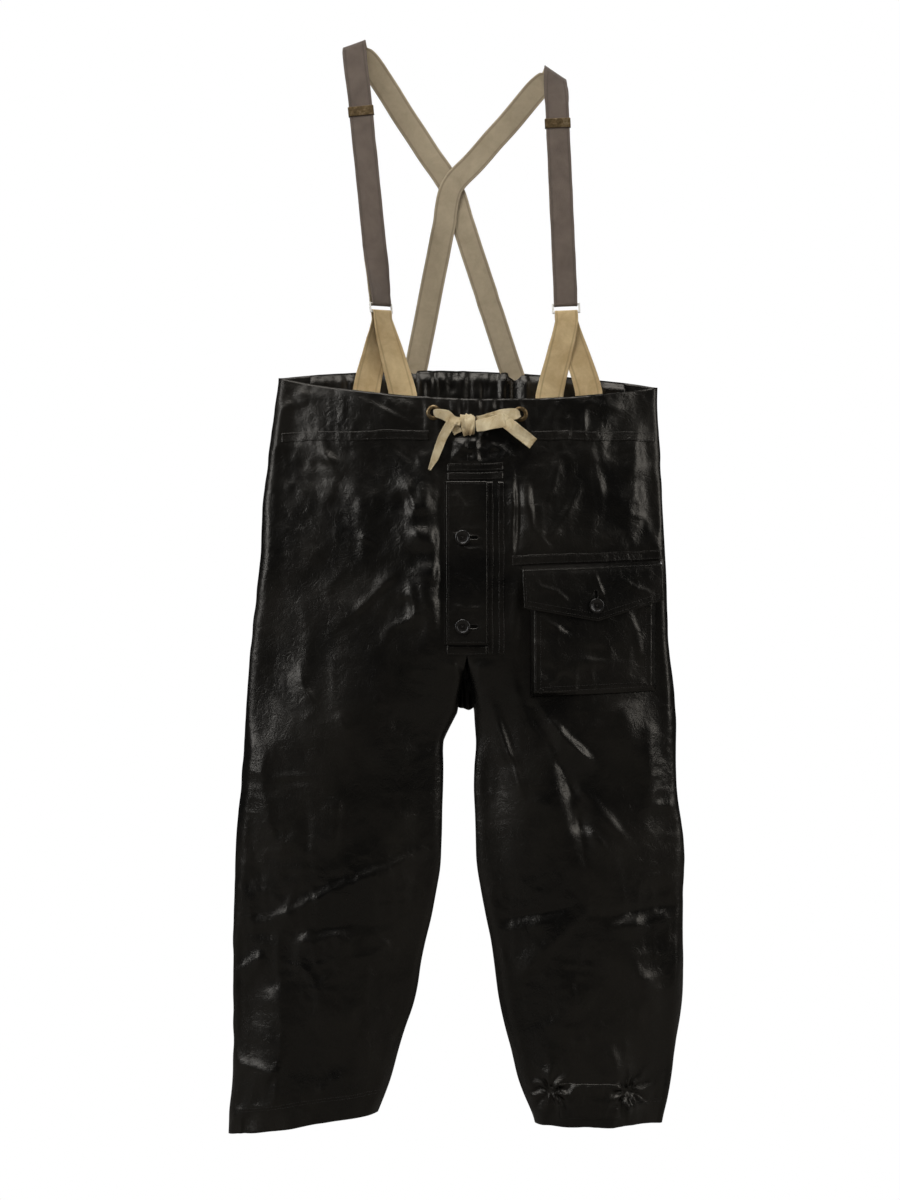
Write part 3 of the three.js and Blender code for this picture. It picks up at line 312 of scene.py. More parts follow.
back_creases = [
    (4.5, 24, 0.2, [(-65, -563), (-78, -684), (-98, -805)]),
    (4.5, 24, -0.2, [(70, -563), (83, -684), (108, -805)]),
    (3.6, 17, 0.4, [(0, -791), (-51, -829), (-105, -859), (-159, -872)]),
    (3.6, 17, -0.4, [(5, -791), (57, -832), (113, -864), (178, -878)]),
    (3.06, 16, 0.3, [(-3, -738), (-65, -791), (-132, -805)]),
    (3.06, 16, 0.3, [(8, -743), (75, -791), (148, -808)]),
    (-4.05, 12, 0, [(0, -509), (1, -630), (0, -791)]),
    (2.7, 14, 0.3, [(-226, -522), (-186, -576), (-172, -657)]),
    (2.7, 14, 0.3, [(205, -522), (178, -590), (172, -670)]),
    (2.34, 9, 0.2, [(-145, -475), (-143, -522), (-156, -576)]),
    (2.34, 9, 0.2, [(-92, -471), (-94, -509), (-86, -563)]),
    (2.52, 9, 0.2, [(-38, -468), (-32, -509), (-40, -552)]),
    (2.52, 9, 0.2, [(43, -468), (38, -517), (48, -563)]),
    (2.34, 9, 0.2, [(104, -471), (108, -522), (97, -576)]),
    (2.34, 9, 0.2, [(164, -475), (159, -522), (167, -563)]),
    (4.14, 14, 0.5, [(-307, -1141), (-226, -1162), (-145, -1148), (-51, -1114)]),
    (-3.6, 10, 0.2, [(-312, -1182), (-226, -1193), (-145, -1182), (-59, -1148)]),
    (3.6, 14, 0.4, [(-307, -1209), (-226, -1225), (-159, -1211), (-78, -1189)]),
    (3.24, 14, 0.2, [(-293, -1256), (-213, -1269), (-118, -1242)]),
    (2.88, 12, 0.2, [(-280, -1088), (-199, -1114), (-105, -1088)]),
    (4.14, 14, -0.5, [(43, -1114), (124, -1152), (218, -1148), (291, -1128)]),
    (-3.6, 10, 0.2, [(40, -1148), (124, -1184), (218, -1184), (293, -1168)]),
    (3.6, 14, 0.4, [(51, -1195), (137, -1215), (218, -1219), (291, -1201)]),
    (3.06, 14, 0.2, [(70, -1242), (164, -1263), (272, -1249)]),
    (2.7, 12, 0.2, [(70, -1088), (151, -1109), (258, -1088)]),
    (3.6, 24, 0.2, [(-186, -872), (-197, -980), (-186, -1074)]),
    (3.24, 21, 0.2, [(-92, -872), (-97, -966), (-86, -1061)]),
    (3.06, 23, 0.2, [(-267, -859), (-277, -966), (-269, -1074)]),
    (3.6, 24, 0.2, [(178, -872), (194, -980), (183, -1074)]),
    (3.24, 21, 0.2, [(83, -872), (97, -966), (86, -1061)]),
    (3.06, 23, 0.2, [(253, -859), (264, -966), (256, -1074)]),
    (2.7, 19, 0.2, [(-226, -1276), (-213, -1343), (-226, -1397)]),
    (2.7, 19, 0.2, [(-132, -1276), (-143, -1343), (-137, -1390)]),
    (2.7, 19, 0.2, [(151, -1276), (140, -1343), (151, -1390)]),
    (2.7, 19, 0.2, [(232, -1276), (245, -1343), (234, -1397)]),
    (2.7, 10, 0.3, [(-186, -603), (-118, -630), (-65, -684)]),
    (2.7, 10, -0.3, [(191, -603), (124, -635), (70, -692)]),
]
# Places where the cloth is held flat by what is sewn on it: left, right, foot, top, and how much moves.
held_flat = [(-33, 30, -816, -560, 0.12), (78, 262, -872, -676, 0.3), (-62, 88, -520, -470, 0.75)]


def smooth(low, high, value):
    t = np.clip((value - low) / (high - low), 0, 1)
    return t * t * (3 - 2 * t)


def unevenness(x, z, size, seed):
    """Smooth heights from -1 to 1 that change over about that many millimetres."""
    table = np.random.default_rng(seed).uniform(-1, 1, (97, 97))
    u, v = x / size + 31.7, z / size + 17.3
    i, j = np.floor(u).astype(int), np.floor(v).astype(int)
    u, v = u - i, v - j
    u, v = u**3 * (u * (6 * u - 15) + 10), v**3 * (v * (6 * v - 15) + 10)
    a, b, c, d = (table[(i + k) % 97, (j + m) % 97] for k, m in ((0, 0), (1, 0), (0, 1), (1, 1)))
    return (a * (1 - u) + b * u) * (1 - v) + (c * (1 - u) + d * u) * v


def crease(x, z, height, width, lean, route):
    """One crease: round on its crest, steeper on one side, and fading towards both ends."""
    route = np.array(route, float)
    steps = np.diff(route, axis=0)
    lengths = np.linalg.norm(steps, axis=1)
    total = lengths.sum()
    rise = np.zeros_like(x)
    reach = 4 * width
    near = (x > route[:, 0].min() - reach) & (x < route[:, 0].max() + reach)
    near &= (z > route[:, 1].min() - reach) & (z < route[:, 1].max() + reach)
    px, pz = x[near], z[near]
    best, along, side = np.full(px.shape, 1e9), np.zeros(px.shape), np.zeros(px.shape)
    for k, (start, step, length) in enumerate(zip(route, steps, lengths)):
        t = np.clip(((px - start[0]) * step[0] + (pz - start[1]) * step[1]) / length**2, 0, 1)
        dx, dz = px - start[0] - t * step[0], pz - start[1] - t * step[1]
        away = np.hypot(dx, dz)
        closer = away < best
        best = np.where(closer, away, best)
        along = np.where(closer, (lengths[:k].sum() + t * length) / total, along)
        side = np.where(closer, np.sign(step[0] * dz - step[1] * dx), side)
    reach_here = width * (1 - lean * side * np.clip(best / width, 0, 1))
    crest = 1 / (1 + (best / reach_here) ** 2) ** 2
    fade = 0.15 + 0.85 * smooth(0, 0.3, along) * smooth(0, 0.3, 1 - along)
    rise[near] = height * crest * fade * (1 - smooth(0.7, 1, best / reach))
    return rise


def leg_cut(side, z):
    """A leg's outer and inner edges at a height, its fullness, and the inner edge eased for its roundness."""
    def eased(values, reach):
        shares = (-1, -0.5, 0, 0.5, 1)
        return sum(np.interp(np.minimum(z + k * reach, waist), heights, values) for k in shares) / len(shares)

    inner = inner_edge[side]
    low = smooth(905, 960, -z)
    straight = np.interp(z, heights, inner) * (1 - low) + eased(inner, 14) * low
    return eased(outer_edge[side], 24), straight, eased(depths, 40), eased(inner, 60)


def relief(face, x, z):
    """How far the hanging cloth stands out from its plain shape, creases and unevenness together."""
    rise = np.zeros_like(x)
    for one in front_creases if face < 0 else back_creases:
        rise += crease(x, z, *one)
    rise *= 0.8 + 0.45 * unevenness(x, z, 24, 12 - face)
    seed = 11 if face < 0 else 51
    bent = unevenness(x, z, 60, seed) * 22
    wide = unevenness(x + bent, z * 0.55, 75, seed + 1)
    ridge = 1 - 2 * np.sqrt(unevenness(x + bent, z * 0.7 - bent, 42, seed + 2) ** 2 + 0.006)
    fine = 1 - 2 * np.sqrt(unevenness(x - bent * 0.6, z + bent * 0.4, 19, seed + 3) ** 2 + 0.008)
    rough = smooth(-0.1, 0.7, unevenness(x, z, 120, seed + 4))
    upper = smooth(-760, -520, z) * (0.35 + 0.65 * np.exp(-((x - 10) / 130) ** 2))
    knee = np.exp(-((z + 1180) / 70) ** 2)
    busy = np.clip(0.25 + 0.75 * rough + 0.8 * upper + 0.5 * knee, 0, 1.6)
    rise += (3.0 + 2.0 * smooth(880, 1000, -z)) * wide + (0.35 + 1.25 * busy) * ridge + 0.62 * busy * fine
    tiny = 1 - 2 * np.sqrt(unevenness(x + bent * 0.4, z - bent * 0.5, 9.5, seed + 10) ** 2 + 0.01)
    rise += 0.26 * busy * tiny
    # Gathers under the waist, deepest at the middle of the front and all across the back.
    middle = np.exp(-((x - 12) / (75 if face < 0 else 170)) ** 2)
    pleat = unevenness(x * 1.0, z * 0.12, 9.5, seed + 5) + 0.6 * unevenness(x, z * 0.2, 5.2, seed + 6)
    rise += 2.1 * middle * pleat * smooth(-560, -470, z)
    # The left cuff's front is puckered round its two tacks.
    if face < 0:
        for tack_x in (112, 219):
            away, turn = np.hypot(x - tack_x, z + 1404), np.arctan2(z + 1404, x - tack_x)
            spread = np.cos(7 * turn + 2.5 * unevenness(x, z, 16, 15 + tack_x))
            rise += 2.6 * np.exp(-((away / 27) ** 2)) * smooth(0, 9, away) * spread
            rise -= 3.5 * np.exp(-((away / 7) ** 2))
    crushed = np.exp(-((x - 10) / 52) ** 2 - ((z + 542) / 34) ** 2) * (1 if face < 0 else 0.3)
    rise += crushed * 2.2 * (1 - 2 * np.abs(unevenness(x, z * 1.5, 16, seed + 7)))
    rise += crushed * 1.2 * unevenness(x, z * 2.2, 9, seed + 8)
    return rise


def cloth(face, side, s, z, edge=True):
    """A point of the cloth: s runs from the inner edge, 0, to the outer seam, 1. Returns x and y."""
    outer, inner, depth, eased_inner = leg_cut(side, np.minimum(z, waist))
    split = smooth(800, 930, -z)
    place = np.clip((inner + (outer - inner) * s - eased_inner) / (outer - eased_inner), 0, 1)
    full = (1 - place**2) * (1 - split) + 4 * place * (1 - place) * split
    outline = 3.2 * unevenness(z * 0 + 40 * side, z, 95, 5) + 0.7 * unevenness(z * 0 + 90 * side, z, 23, 6)
    hem = 1 - smooth(-1440, -1400, z)
    x = inner + (outer - inner) * s + side * outline * s**3 * (1 - 0.6 * hem)
    x = x + side * 2.4 * unevenness(z * 0 + 140 * side, z, 60, 7) * (1 - s) ** 3 * smooth(900, 960, -z)
    held = np.ones_like(x)
    if face < 0:
        for left, right, foot, top, keep in held_flat:
            inside = smooth(left - 12, left, x) * smooth(-right - 12, -right, -x)
            inside *= smooth(foot - 12, foot, z) * smooth(-top - 12, -top, -z)
            held *= 1 - (1 - keep) * inside
    round_out = np.sqrt(np.clip(1 - np.clip((s - 0.965) / 0.035, 0, 1) ** 2, 0, 1))
    round_in = np.sqrt(np.clip(1 - np.clip((0.045 - s) / 0.045, 0, 1) ** 2, 0, 1))
    round_in = 1 - (1 - round_in) * split
    near_edge = smooth(0, 0.05, 1 - s) * (1 - split * (1 - smooth(0, 0.07, s)))
    low = 1 + 0.5 * smooth(1180, 1250, -z)
    rise = relief(face, x, z) * held * near_edge * low
    swell = 3.6 * (1 - smooth(0, 0.13, 1 - s)) + 3.6 * split * (1 - smooth(0, 0.13, s))
    out = (depth * full + 1.35 + swell) * round_out * round_in
    return x, face * np.maximum(out + rise, 0.0 if edge else 1.0)


def waist_edge(face, x):
    share = np.clip(np.abs(x) / half_waist, 0, 1)
    return waist - 0.025 * x + (-25 if face < 0 else 20) * (1 - share**2)


def on_cloth(face, x, z):
    """How far the cloth stands out at a place, measured square from the middle plane."""
    x, z = np.asarray(x, float), np.asarray(z, float)
    x, z = np.broadcast_arrays(x, z)
    out = np.zeros(x.shape)
    for side in (-1, 1):
        outer, inner = leg_cut(side, np.minimum(z, waist))[:2]
        middle = (inner + leg_cut(-side, np.minimum(z, waist))[1]) / 2
        here = (x - middle) * side >= 0
        s = np.clip((x - inner) / (outer - inner), 0, 0.9999)
        out = np.where(here, cloth(face, side, s, z, edge=False)[1] * face, out)
    return out


def grid_faces(shape, flipped=False):
    """The faces between the points of a grid, in order."""
    grid = np.arange(shape[0] * shape[1]).reshape(shape)
    faces = np.stack([grid[:-1, :-1], grid[1:, :-1], grid[1:, 1:], grid[:-1, 1:]], axis=-1).reshape(-1, 4)
    return (faces[:, ::-1] if flipped else faces).tolist()


def leg_piece(name, face, side, across, down):
    """One leg's front or back, its columns close together at the seams, and its area in square metres."""
    s = np.linspace(0, 1, across + 1)
    s = np.sort(np.concatenate([s, 1 - s[1:4] / 2.0, 1 - s[1] * np.array([0.25, 0.12])]))
    s = np.unique(np.round(np.concatenate([s, s[1:4] / 2.0, s[1] * np.array([0.25, 0.12])]), 6))
    v = np.linspace(0, 1, down + 1)[:, None]
    top = waist_edge(face, side * half_waist * s[None])
    slant = 30 * (0.5 - s[None]) if side < 0 else 0 * s[None]
    wave = 1.6 * unevenness(s[None] * 200 + 300 * side, 0 * s[None] + face * 50, 31, 9)
    foot = cuff + slant + wave * smooth(0, 0.1, 1 - s[None]) * smooth(0, 0.1, s[None])
    z = top * (1 - v) + foot * v
    x, y = cloth(face, side, np.broadcast_to(s[None], z.shape), z)
    points = np.stack([x, y, z], axis=-1)
    width = np.linalg.norm(np.diff(points, axis=1), axis=2)
    u = np.concatenate([np.zeros((len(z), 1)), np.cumsum(width, axis=1)], axis=1)
    uv = np.stack([u * side, z], axis=-1).reshape(-1, 2) * 0.001
    piece = mesh_piece(name, points.reshape(-1, 3), grid_faces(z.shape, face * side > 0), uv)
    a, b = points[1:, :-1] - points[:-1, :-1], points[:-1, 1:] - points[:-1, :-1]
    area = float(np.linalg.norm(np.cross(a, b), axis=2).sum()) * 1e-6
    return piece, area


def pick(piece):
    """Selects one piece and nothing else."""
    bpy.ops.object.select_all(action="DESELECT")
    piece.select_set(True)
    bpy.context.view_layer.objects.active = piece


def apply(piece, kind, **settings):
    """Puts one modifier on a piece and applies it."""
    pick(piece)
    modifier = piece.modifiers.new(kind.lower(), kind)
    for key, value in settings.items():
        setattr(modifier, key, value)
    bpy.ops.object.modifier_apply(modifier=modifier.name)


def node(tree, kind, inputs=None, **settings):
    made = tree.nodes.new("ShaderNode" + kind)
    for key, value in settings.items():
        setattr(made, key, value)
    for key, value in (inputs or {}).items():
        made.inputs[key].default_value = value
    return made


def wire(tree, *joins):
    """Joins sockets: from a node and its output to a node and its input."""
    for start, output, end, entry in joins:
        tree.links.new(start.outputs[output], end.inputs[entry])


def ramp(tree, stops):
    made = tree.nodes.new("ShaderNodeValToRGB")
    while len(made.color_ramp.elements) < len(stops):
        made.color_ramp.elements.new(0.5)
    for element, (place, colour) in zip(made.color_ramp.elements, stops):
        element.position = place
        element.color = (*colour, 1)
    return made


def finish(name, **sockets):
    """A new material with these plain settings on its shader."""
    made = bpy.data.materials.new(name)
    made.use_nodes = True
    shader = made.node_tree.nodes["Principled BSDF"]
    for key, value in sockets.items():
        shader.inputs[key.replace("_", " ")].default_value = value
    return made, made.node_tree, shader


# Crinkles of rubbered cloth: a fine pebble, small dents and short soft lines, as a height and a mask.
crinkle = bpy.data.node_groups.new("cloth_crinkle", "ShaderNodeTree")
crinkle.interface.new_socket("Vector", in_out="INPUT", socket_type="NodeSocketVector")
crinkle.interface.new_socket("Height", in_out="OUTPUT", socket_type="NodeSocketFloat")
crinkle.interface.new_socket("Scuff", in_out="OUTPUT", socket_type="NodeSocketFloat")
inlet, outlet = crinkle.nodes.new("NodeGroupInput"), crinkle.nodes.new("NodeGroupOutput")
dents = node(crinkle, "TexNoise", {"Scale": 22, "Detail": 5, "Roughness": 0.55, "Distortion": 0.6})
lines = node(crinkle, "TexNoise", {"Scale": 70, "Detail": 4, "Roughness": 0.6, "Distortion": 1.2})
pebble = node(crinkle, "TexNoise", {"Scale": 900, "Detail": 3, "Roughness": 0.7})
patchy = node(crinkle, "TexNoise", {"Scale": 7, "Detail": 7, "Roughness": 0.62, "Distortion": 0.4})
fold = node(crinkle, "Math", {1: 0.5}, operation="SUBTRACT")
sharp = node(crinkle, "Math", operation="ABSOLUTE")
deep = node(crinkle, "Math", {1: -1.3}, operation="MULTIPLY")
small = node(crinkle, "Math", {1: 0.05}, operation="MULTIPLY")
both = node(crinkle, "Math", operation="ADD")
broad = node(crinkle, "Math", {1: 1.1}, operation="MULTIPLY")
total = node(crinkle, "Math", operation="ADD")
wire(crinkle, *((inlet, 0, texture, "Vector") for texture in (dents, lines, pebble, patchy)))
wire(
    crinkle,
    (lines, "Fac", fold, 0), (fold, 0, sharp, 0), (sharp, 0, deep, 0), (pebble, "Fac", small, 0),
    (deep, 0, both, 0), (small, 0, both, 1), (dents, "Fac", broad, 0), (both, 0, total, 0),
    (broad, 0, total, 1), (total, 0, outlet, "Height"), (patchy, "Fac", outlet, "Scuff"),
)


def coated(name, dark, worn, smoothest, dullest, relief_m):
    """Black rubbered cloth: glossy, with duller brownish patches where it has been handled."""
    made, tree, shader = finish(name, IOR=1.5)
    shader.inputs["Specular IOR Level"].default_value = 0.42
    shader.inputs["Specular Tint"].default_value = (1.0, 0.95, 0.87, 1)
    place = node(tree, "TexCoord")
    creased = node(tree, "Group")
    creased.node_tree = crinkle
    tint = ramp(tree, [(0.38, dark), (0.62, worn)])
    gloss = node(tree, "MapRange", {"From Min": 0.35, "From Max": 0.68})
    gloss.inputs["To Min"].default_value, gloss.inputs["To Max"].default_value = smoothest, dullest
    bump = node(tree, "Bump", {"Strength": 1.0, "Distance": relief_m})
    wire(
        tree,
        (place, "Object", creased, "Vector"), (creased, "Scuff", tint, "Fac"),
        (creased, "Scuff", gloss, "Value"), (tint, "Color", shader, "Base Color"),
        (gloss, "Result", shader, "Roughness"),
        (creased, "Height", bump, "Height"), (bump, "Normal", shader, "Normal"),
    )
    return made


black_cloth = coated(
    "black_rubbered_cloth", (0.0022, 0.0021, 0.0019), (0.0055, 0.0047, 0.0036), 0.25, 0.4, 0.0007
)

for side, leg in ((-1, "right"), (1, "left")):
    for face, front_or_back in ((-1, "front"), (1, "back")):
        name = f"{front_or_back}_cloth_{leg}"
        piece, area = leg_piece(name, face, side, 100, 330)
        piece.data.materials.append(black_cloth)
        apply(piece, "SOLIDIFY", thickness=cloth_m, offset=-1)
        upper, shin = f"{front_or_back}_panel_{leg}", f"{front_or_back}_shin_panel_{leg}"
        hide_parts(upper, shin)
        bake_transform(piece)


# ---- Crotch ------------------------------------------------------------------------------------
# Where the four seams meet, the spare cloth hangs between the legs in a small gathered fold.
u, v = np.meshgrid(np.linspace(0, 1, 60), np.linspace(0, 1, 30))
x = -24 + 47 * u
z = -812 - (76 - 12 * (2 * u - 1) ** 2 + 1.6 * unevenness(x, x * 0, 7, 640)) * v
pleats = 2.6 * unevenness(x + 0.1 * z, z * 0.12, 7.5, 641) + 1.2 * unevenness(x, z * 0.25, 4.2, 642)
points = np.stack([x, 1.5 + pleats, z], axis=-1).reshape(-1, 3)
gather = mesh_piece("crotch_gather_cloth", points, grid_faces(u.shape))
gather.data.materials.append(black_cloth)
apply(gather, "SOLIDIFY", thickness=cloth_m, offset=-1)
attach(gather, "trousers")


# ---- Waist casing ------------------------------------------------------------------------------
# The cloth's own top edge, turned in and sewn down 76 mm below the waist to make the drawstring's
# channel. Only its inside shows, gathered into upright folds across the middle of the back.
for face, name in ((-1, "waist_casing_front"), (1, "waist_casing_back")):
    u, v = np.meshgrid(np.linspace(0, 1, 201), np.linspace(0, 1, 27))
    x = -216 + 432 * u
    z = (waist_edge(face, x) - 0.6) * (1 - v) - 517 * v
    behind = 1.6 + 5.2 * smooth(0, 0.14, v) * smooth(0, 0.05, 1 - v)
    gather = unevenness(x, z * 0.15, 8, 71 + face) * 1.3 * smooth(0, 0.15, v) * smooth(0, 0.15, 1 - v)
    y = face * (on_cloth(face, x, z) - behind + gather)
    uv = np.stack([x, z], axis=-1).reshape(-1, 2) * 0.001
    points = np.stack([x, y, z], axis=-1).reshape(-1, 3)
    piece = mesh_piece(f"{name}_cloth", points, grid_faces(x.shape, face > 0), uv)
    piece.data.materials.append(black_cloth)
    apply(piece, "SOLIDIFY", thickness=cloth_m, offset=-1)
    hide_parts(name)
    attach(piece, "trousers")


# ---- Seam tapes --------------------------------------------------------------------------------
# Narrow strips of the same rubbered cloth, cemented and stitched over each seam and opening, so that
# they lie slightly proud, catch the light along their edges and follow the cloth beneath.
tape_cloth = coated("black_tape_cloth", (0.0022, 0.002, 0.0017), (0.006, 0.005, 0.0038), 0.26, 0.42, 0.0009)


def speckled(name, grain, stops, gloss=None, relief_m=None, **sockets):
    """A finish that varies by one fine noise: its colour, and where they are given its gloss and relief."""
    made, tree, shader = finish(name, **sockets)
    place = node(tree, "TexCoord")
    noise = node(tree, "TexNoise", dict(zip(("Scale", "Detail", "Roughness"), grain)))
    tint = ramp(tree, stops)
    wire(tree, (place, "Object", noise, "Vector"), (noise, "Fac", tint, "Fac"))
    wire(tree, (tint, "Color", shader, "Base Color"))
    if gloss:
        shine = node(tree, "MapRange", {"To Min": gloss[0], "To Max": gloss[1]})
        wire(tree, (noise, "Fac", shine, "Value"), (shine, "Result", shader, "Roughness"))
    if relief_m:
        bump = node(tree, "Bump", {"Strength": relief_m[0], "Distance": relief_m[1]})
        wire(tree, (noise, "Fac", bump, "Height"), (bump, "Normal", shader, "Normal"))
    return made


stitch_thread = speckled(
    "dark_thread", (300, 3), [(0.3, (0.006, 0.005, 0.004)), (0.7, (0.019, 0.015, 0.011))], Roughness=0.8
)


def strip(name, face, path, width, lift=0.12, thickness=0.6, out_of=None):
    """A sewn strip along a line of (x, z) points on the cloth, with a row of stitches near each edge."""
    out_of = out_of or (lambda x, z: on_cloth(face, x, z))
    line, _ = curve_points([(x, 0, z) for x, z in path], 30)
    lengths = np.concatenate([[0], np.cumsum(np.linalg.norm(np.diff(line, axis=0), axis=1))])
    at = np.linspace(0, lengths[-1], max(3, int(lengths[-1] / 2.2)))
    x, z = np.interp(at, lengths, line[:, 0]), np.interp(at, lengths, line[:, 2])
    way = np.stack([np.gradient(x, at), np.gradient(z, at)], axis=-1)
    way /= np.linalg.norm(way, axis=1, keepdims=True)
    square = np.stack([-way[:, 1], way[:, 0]], axis=-1)
    side = np.array([-0.5, -0.49, -0.44, -0.3, -0.1, 0.1, 0.3, 0.44, 0.49, 0.5])
    rise = np.array([-0.4, 0.75, 1.0, 0.8, 1.0, 1.0, 0.8, 1.0, 0.75, -0.4]) * thickness
    pucker = 0.35 * (unevenness(at, at * 0, 5, len(name) + 2) + unevenness(at, at * 0, 13, len(name) + 3))
    jitter = 0.5 * unevenness(at, at * 0, 11, len(name)) + 0.9 * unevenness(at, at * 0, 34, len(name) + 1)
    aside = side[None] * width
    gx = x[:, None] + square[:, :1] * aside + square[:, :1] * jitter[:, None]
    gz = z[:, None] + square[:, 1:] * aside + square[:, 1:] * jitter[:, None]
    out = out_of(gx, gz)
    fade = smooth(0, 2.5, at) * smooth(0, 2.5, at[-1] - at)
    top = out + lift + rise[None] * (0.25 + 0.75 * fade[:, None])
    top += np.clip(pucker, -0.1, 0.7)[:, None] * fade[:, None]
    points = np.stack([gx, face * top, gz], axis=-1)
    under = np.stack([gx, face * (out + lift - 0.5), gz], axis=-1)[:, ::-1]
    ring = np.concatenate([points, under], axis=1)
    grid = np.arange(ring.shape[0] * ring.shape[1]).reshape(ring.shape[:2])
    turn = np.roll(grid, -1, axis=1)
    faces = np.stack([grid[:-1], grid[1:], turn[1:], turn[:-1]], axis=-1).reshape(-1, 4).tolist()
    piece = mesh_piece(name, ring.reshape(-1, 3), faces + [grid[0].tolist(), grid[-1][::-1].tolist()])
    recalculate(piece)
    piece.data.materials.append(tape_cloth)
    stitch_lines = []
    for r in (-0.34, 0.34):
        sx, sz = x + square[:, 0] * r * width, z + square[:, 1] * r * width
        stitch_lines.append(np.stack([sx, face * (out_of(sx, sz) + lift + thickness * 0.95), sz], axis=-1))
    return piece, stitch_lines


def recalculate(piece):
    """Merges doubles and turns every face outwards."""
    bm = bmesh.new()
    bm.from_mesh(piece.data)
    bmesh.ops.remove_doubles(bm, verts=bm.verts, dist=1e-6)
    bmesh.ops.recalc_face_normals(bm, faces=bm.faces)
    bm.to_mesh(piece.data)
    bm.free()


def stitches(name, lines, outward, length=2.6, pitch=3.4, thick=0.42, material=None):
    """Rows of single stitches along lines of points, each a short thread that dips at its ends."""
    points, faces = [], []
    for line in lines:
        line = np.asarray(line, float)
        along = np.concatenate([[0], np.cumsum(np.linalg.norm(np.diff(line, axis=0), axis=1))])
        for start in np.arange(pitch / 2, along[-1] - length, pitch):
            at = start + length * np.array([0, 0.5, 1])
            ends = np.stack([np.interp(at, along, line[:, c]) for c in range(3)], axis=-1)
            way = ends[2] - ends[0]
            way /= np.linalg.norm(way)
            out = np.asarray(outward, float)
            out = out - way * out.dot(way)
            out /= np.linalg.norm(out)
            across = np.cross(way, out)
            base = len(points)
            for k, (middle, size) in enumerate(zip(ends, (0.45, 1.0, 0.45))):
                sink = out * (thick * (0.35 if k == 1 else -0.25))
                for turn in range(5):
                    angle = turn * 2 * math.pi / 5
                    round_it = across * math.cos(angle) + out * math.sin(angle)
                    points.append(middle + sink + round_it * thick * size)
            for k in (0, 5):
                for turn in range(5):
                    nxt = (turn + 1) % 5
                    faces.append([base + k + turn, base + k + nxt, base + k + 5 + nxt, base + k + 5 + turn])
            faces.append([base + turn for turn in range(5)][::-1])
            faces.append([base + 10 + turn for turn in range(5)])
    piece = mesh_piece(name, points, faces)
    recalculate(piece)
    piece.data.materials.append(material or stitch_thread)
    return piece


def on(piece, body, slot, *nodes):
    """Puts a finished piece on its body and hides the model's parts that it takes the place of."""
    if nodes:
        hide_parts(*nodes)
    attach(piece, body)
    return piece


tapes = {
    "waist_tape_front_right": (-1, [(-254, -516), (-200, -515), (-150, -516), (-100, -515), (-52, -516)], 13),
    "waist_tape_front_left": (-1, [(86, -516), (130, -515), (180, -516), (225, -515), (256, -516)], 13),
    "waist_tape_back": (
        1, [(-254, -516), (-150, -515), (-50, -517), (50, -515), (150, -516), (256, -516)], 13
    ),
    "fly_side_tape_inner": (-1, [(30.3, -578), (30.6, -640), (30, -720), (30.3, -812)], 8),
    "fly_side_tape_outer": (-1, [(45.3, -578), (45, -640), (45.6, -720), (45.3, -812)], 8),
    "fly_foot_tape": (-1, [(-29, -806), (0, -806.5), (26, -806)], 12),
    "pocket_top_tape": (-1, [(60, -685.2), (110, -683), (160, -681), (215, -678.6), (266, -676)], 13),
}
for name, (face, path, width) in tapes.items():
    piece, lines = strip(f"{name}_cloth", face, path, width)
    on(piece, "trousers", "seam_tape", name)
    on(stitches(f"{name}_stitches", lines, (0, face, 0)), "trousers", "thread")
for k, z in enumerate((-559, -571)):
    piece, lines = strip(f"fly_top_tape_cloth_{k}", -1, [(-28, z - 1), (10, z), (48, z + 1)], 10)
    on(piece, "trousers", "seam_tape", *(["fly_top_tape"] if k == 0 else []))
    on(stitches(f"fly_top_tape_stitches_{k}", lines, (0, -1, 0)), "trousers", "thread")


# ---- Fly ---------------------------------------------------------------------------------------
# A stand sewn to the front and a flap over it, held along the flap's left edge and closed by two
# buttons that stand through stitched slots. The flap is one layer of rubbered cloth with a folded rim.
def cut_out(piece, cutter):
    """Takes one piece away from another."""
    apply(piece, "BOOLEAN", operation="DIFFERENCE", object=cutter, solver="EXACT")
    bpy.data.objects.remove(cutter)


def flap_sheet(name, outline_x, outline_z, point_of, slots, thickness, columns, rows):
    """A flap as a grid between its edges, thickened, with its buttonholes cut right through."""
    u, v = np.meshgrid(np.linspace(0, 1, columns + 1), np.linspace(0, 1, rows + 1))
    points = point_of(outline_x(u, v), outline_z(u, v))
    piece = mesh_piece(name, points.reshape(-1, 3), grid_faces(u.shape))
    piece.data.materials.append(black_cloth)
    apply(piece, "SOLIDIFY", thickness=thickness, offset=-1)
    for middle, along, out in slots:
        bpy.ops.object.select_all(action="DESELECT")
        bpy.ops.mesh.primitive_cylinder_add(vertices=24, radius=0.0021, depth=0.02, location=(0, 0, 0))
        cutter = bpy.context.object
        for vertex in cutter.data.vertices:
            vertex.co.x += 0.0092 if vertex.co.x > 0 else -0.0092
        across = Vector(along).normalized()
        normal = Vector(out).normalized()
        turn = Matrix((across, normal.cross(across), normal)).transposed().to_4x4()
        cutter.data.transform(Matrix.Translation(Vector(middle) * 0.001) @ turn)
        cut_out(piece, cutter)
    return piece


def slot_ring(middle, along, out, half=9.2, radius=3.2):
    """The line of close stitches round a buttonhole."""
    across, normal = np.array(along, float), np.array(out, float)
    across /= np.linalg.norm(across)
    other = np.cross(normal / np.linalg.norm(normal), across)
    turn = np.linspace(0, 2 * np.pi, 41)
    place = np.array(middle) + across * (radius * np.cos(turn) + half * np.sign(np.cos(turn)))[:, None]
    return place + other * (radius * np.sin(turn))[:, None]


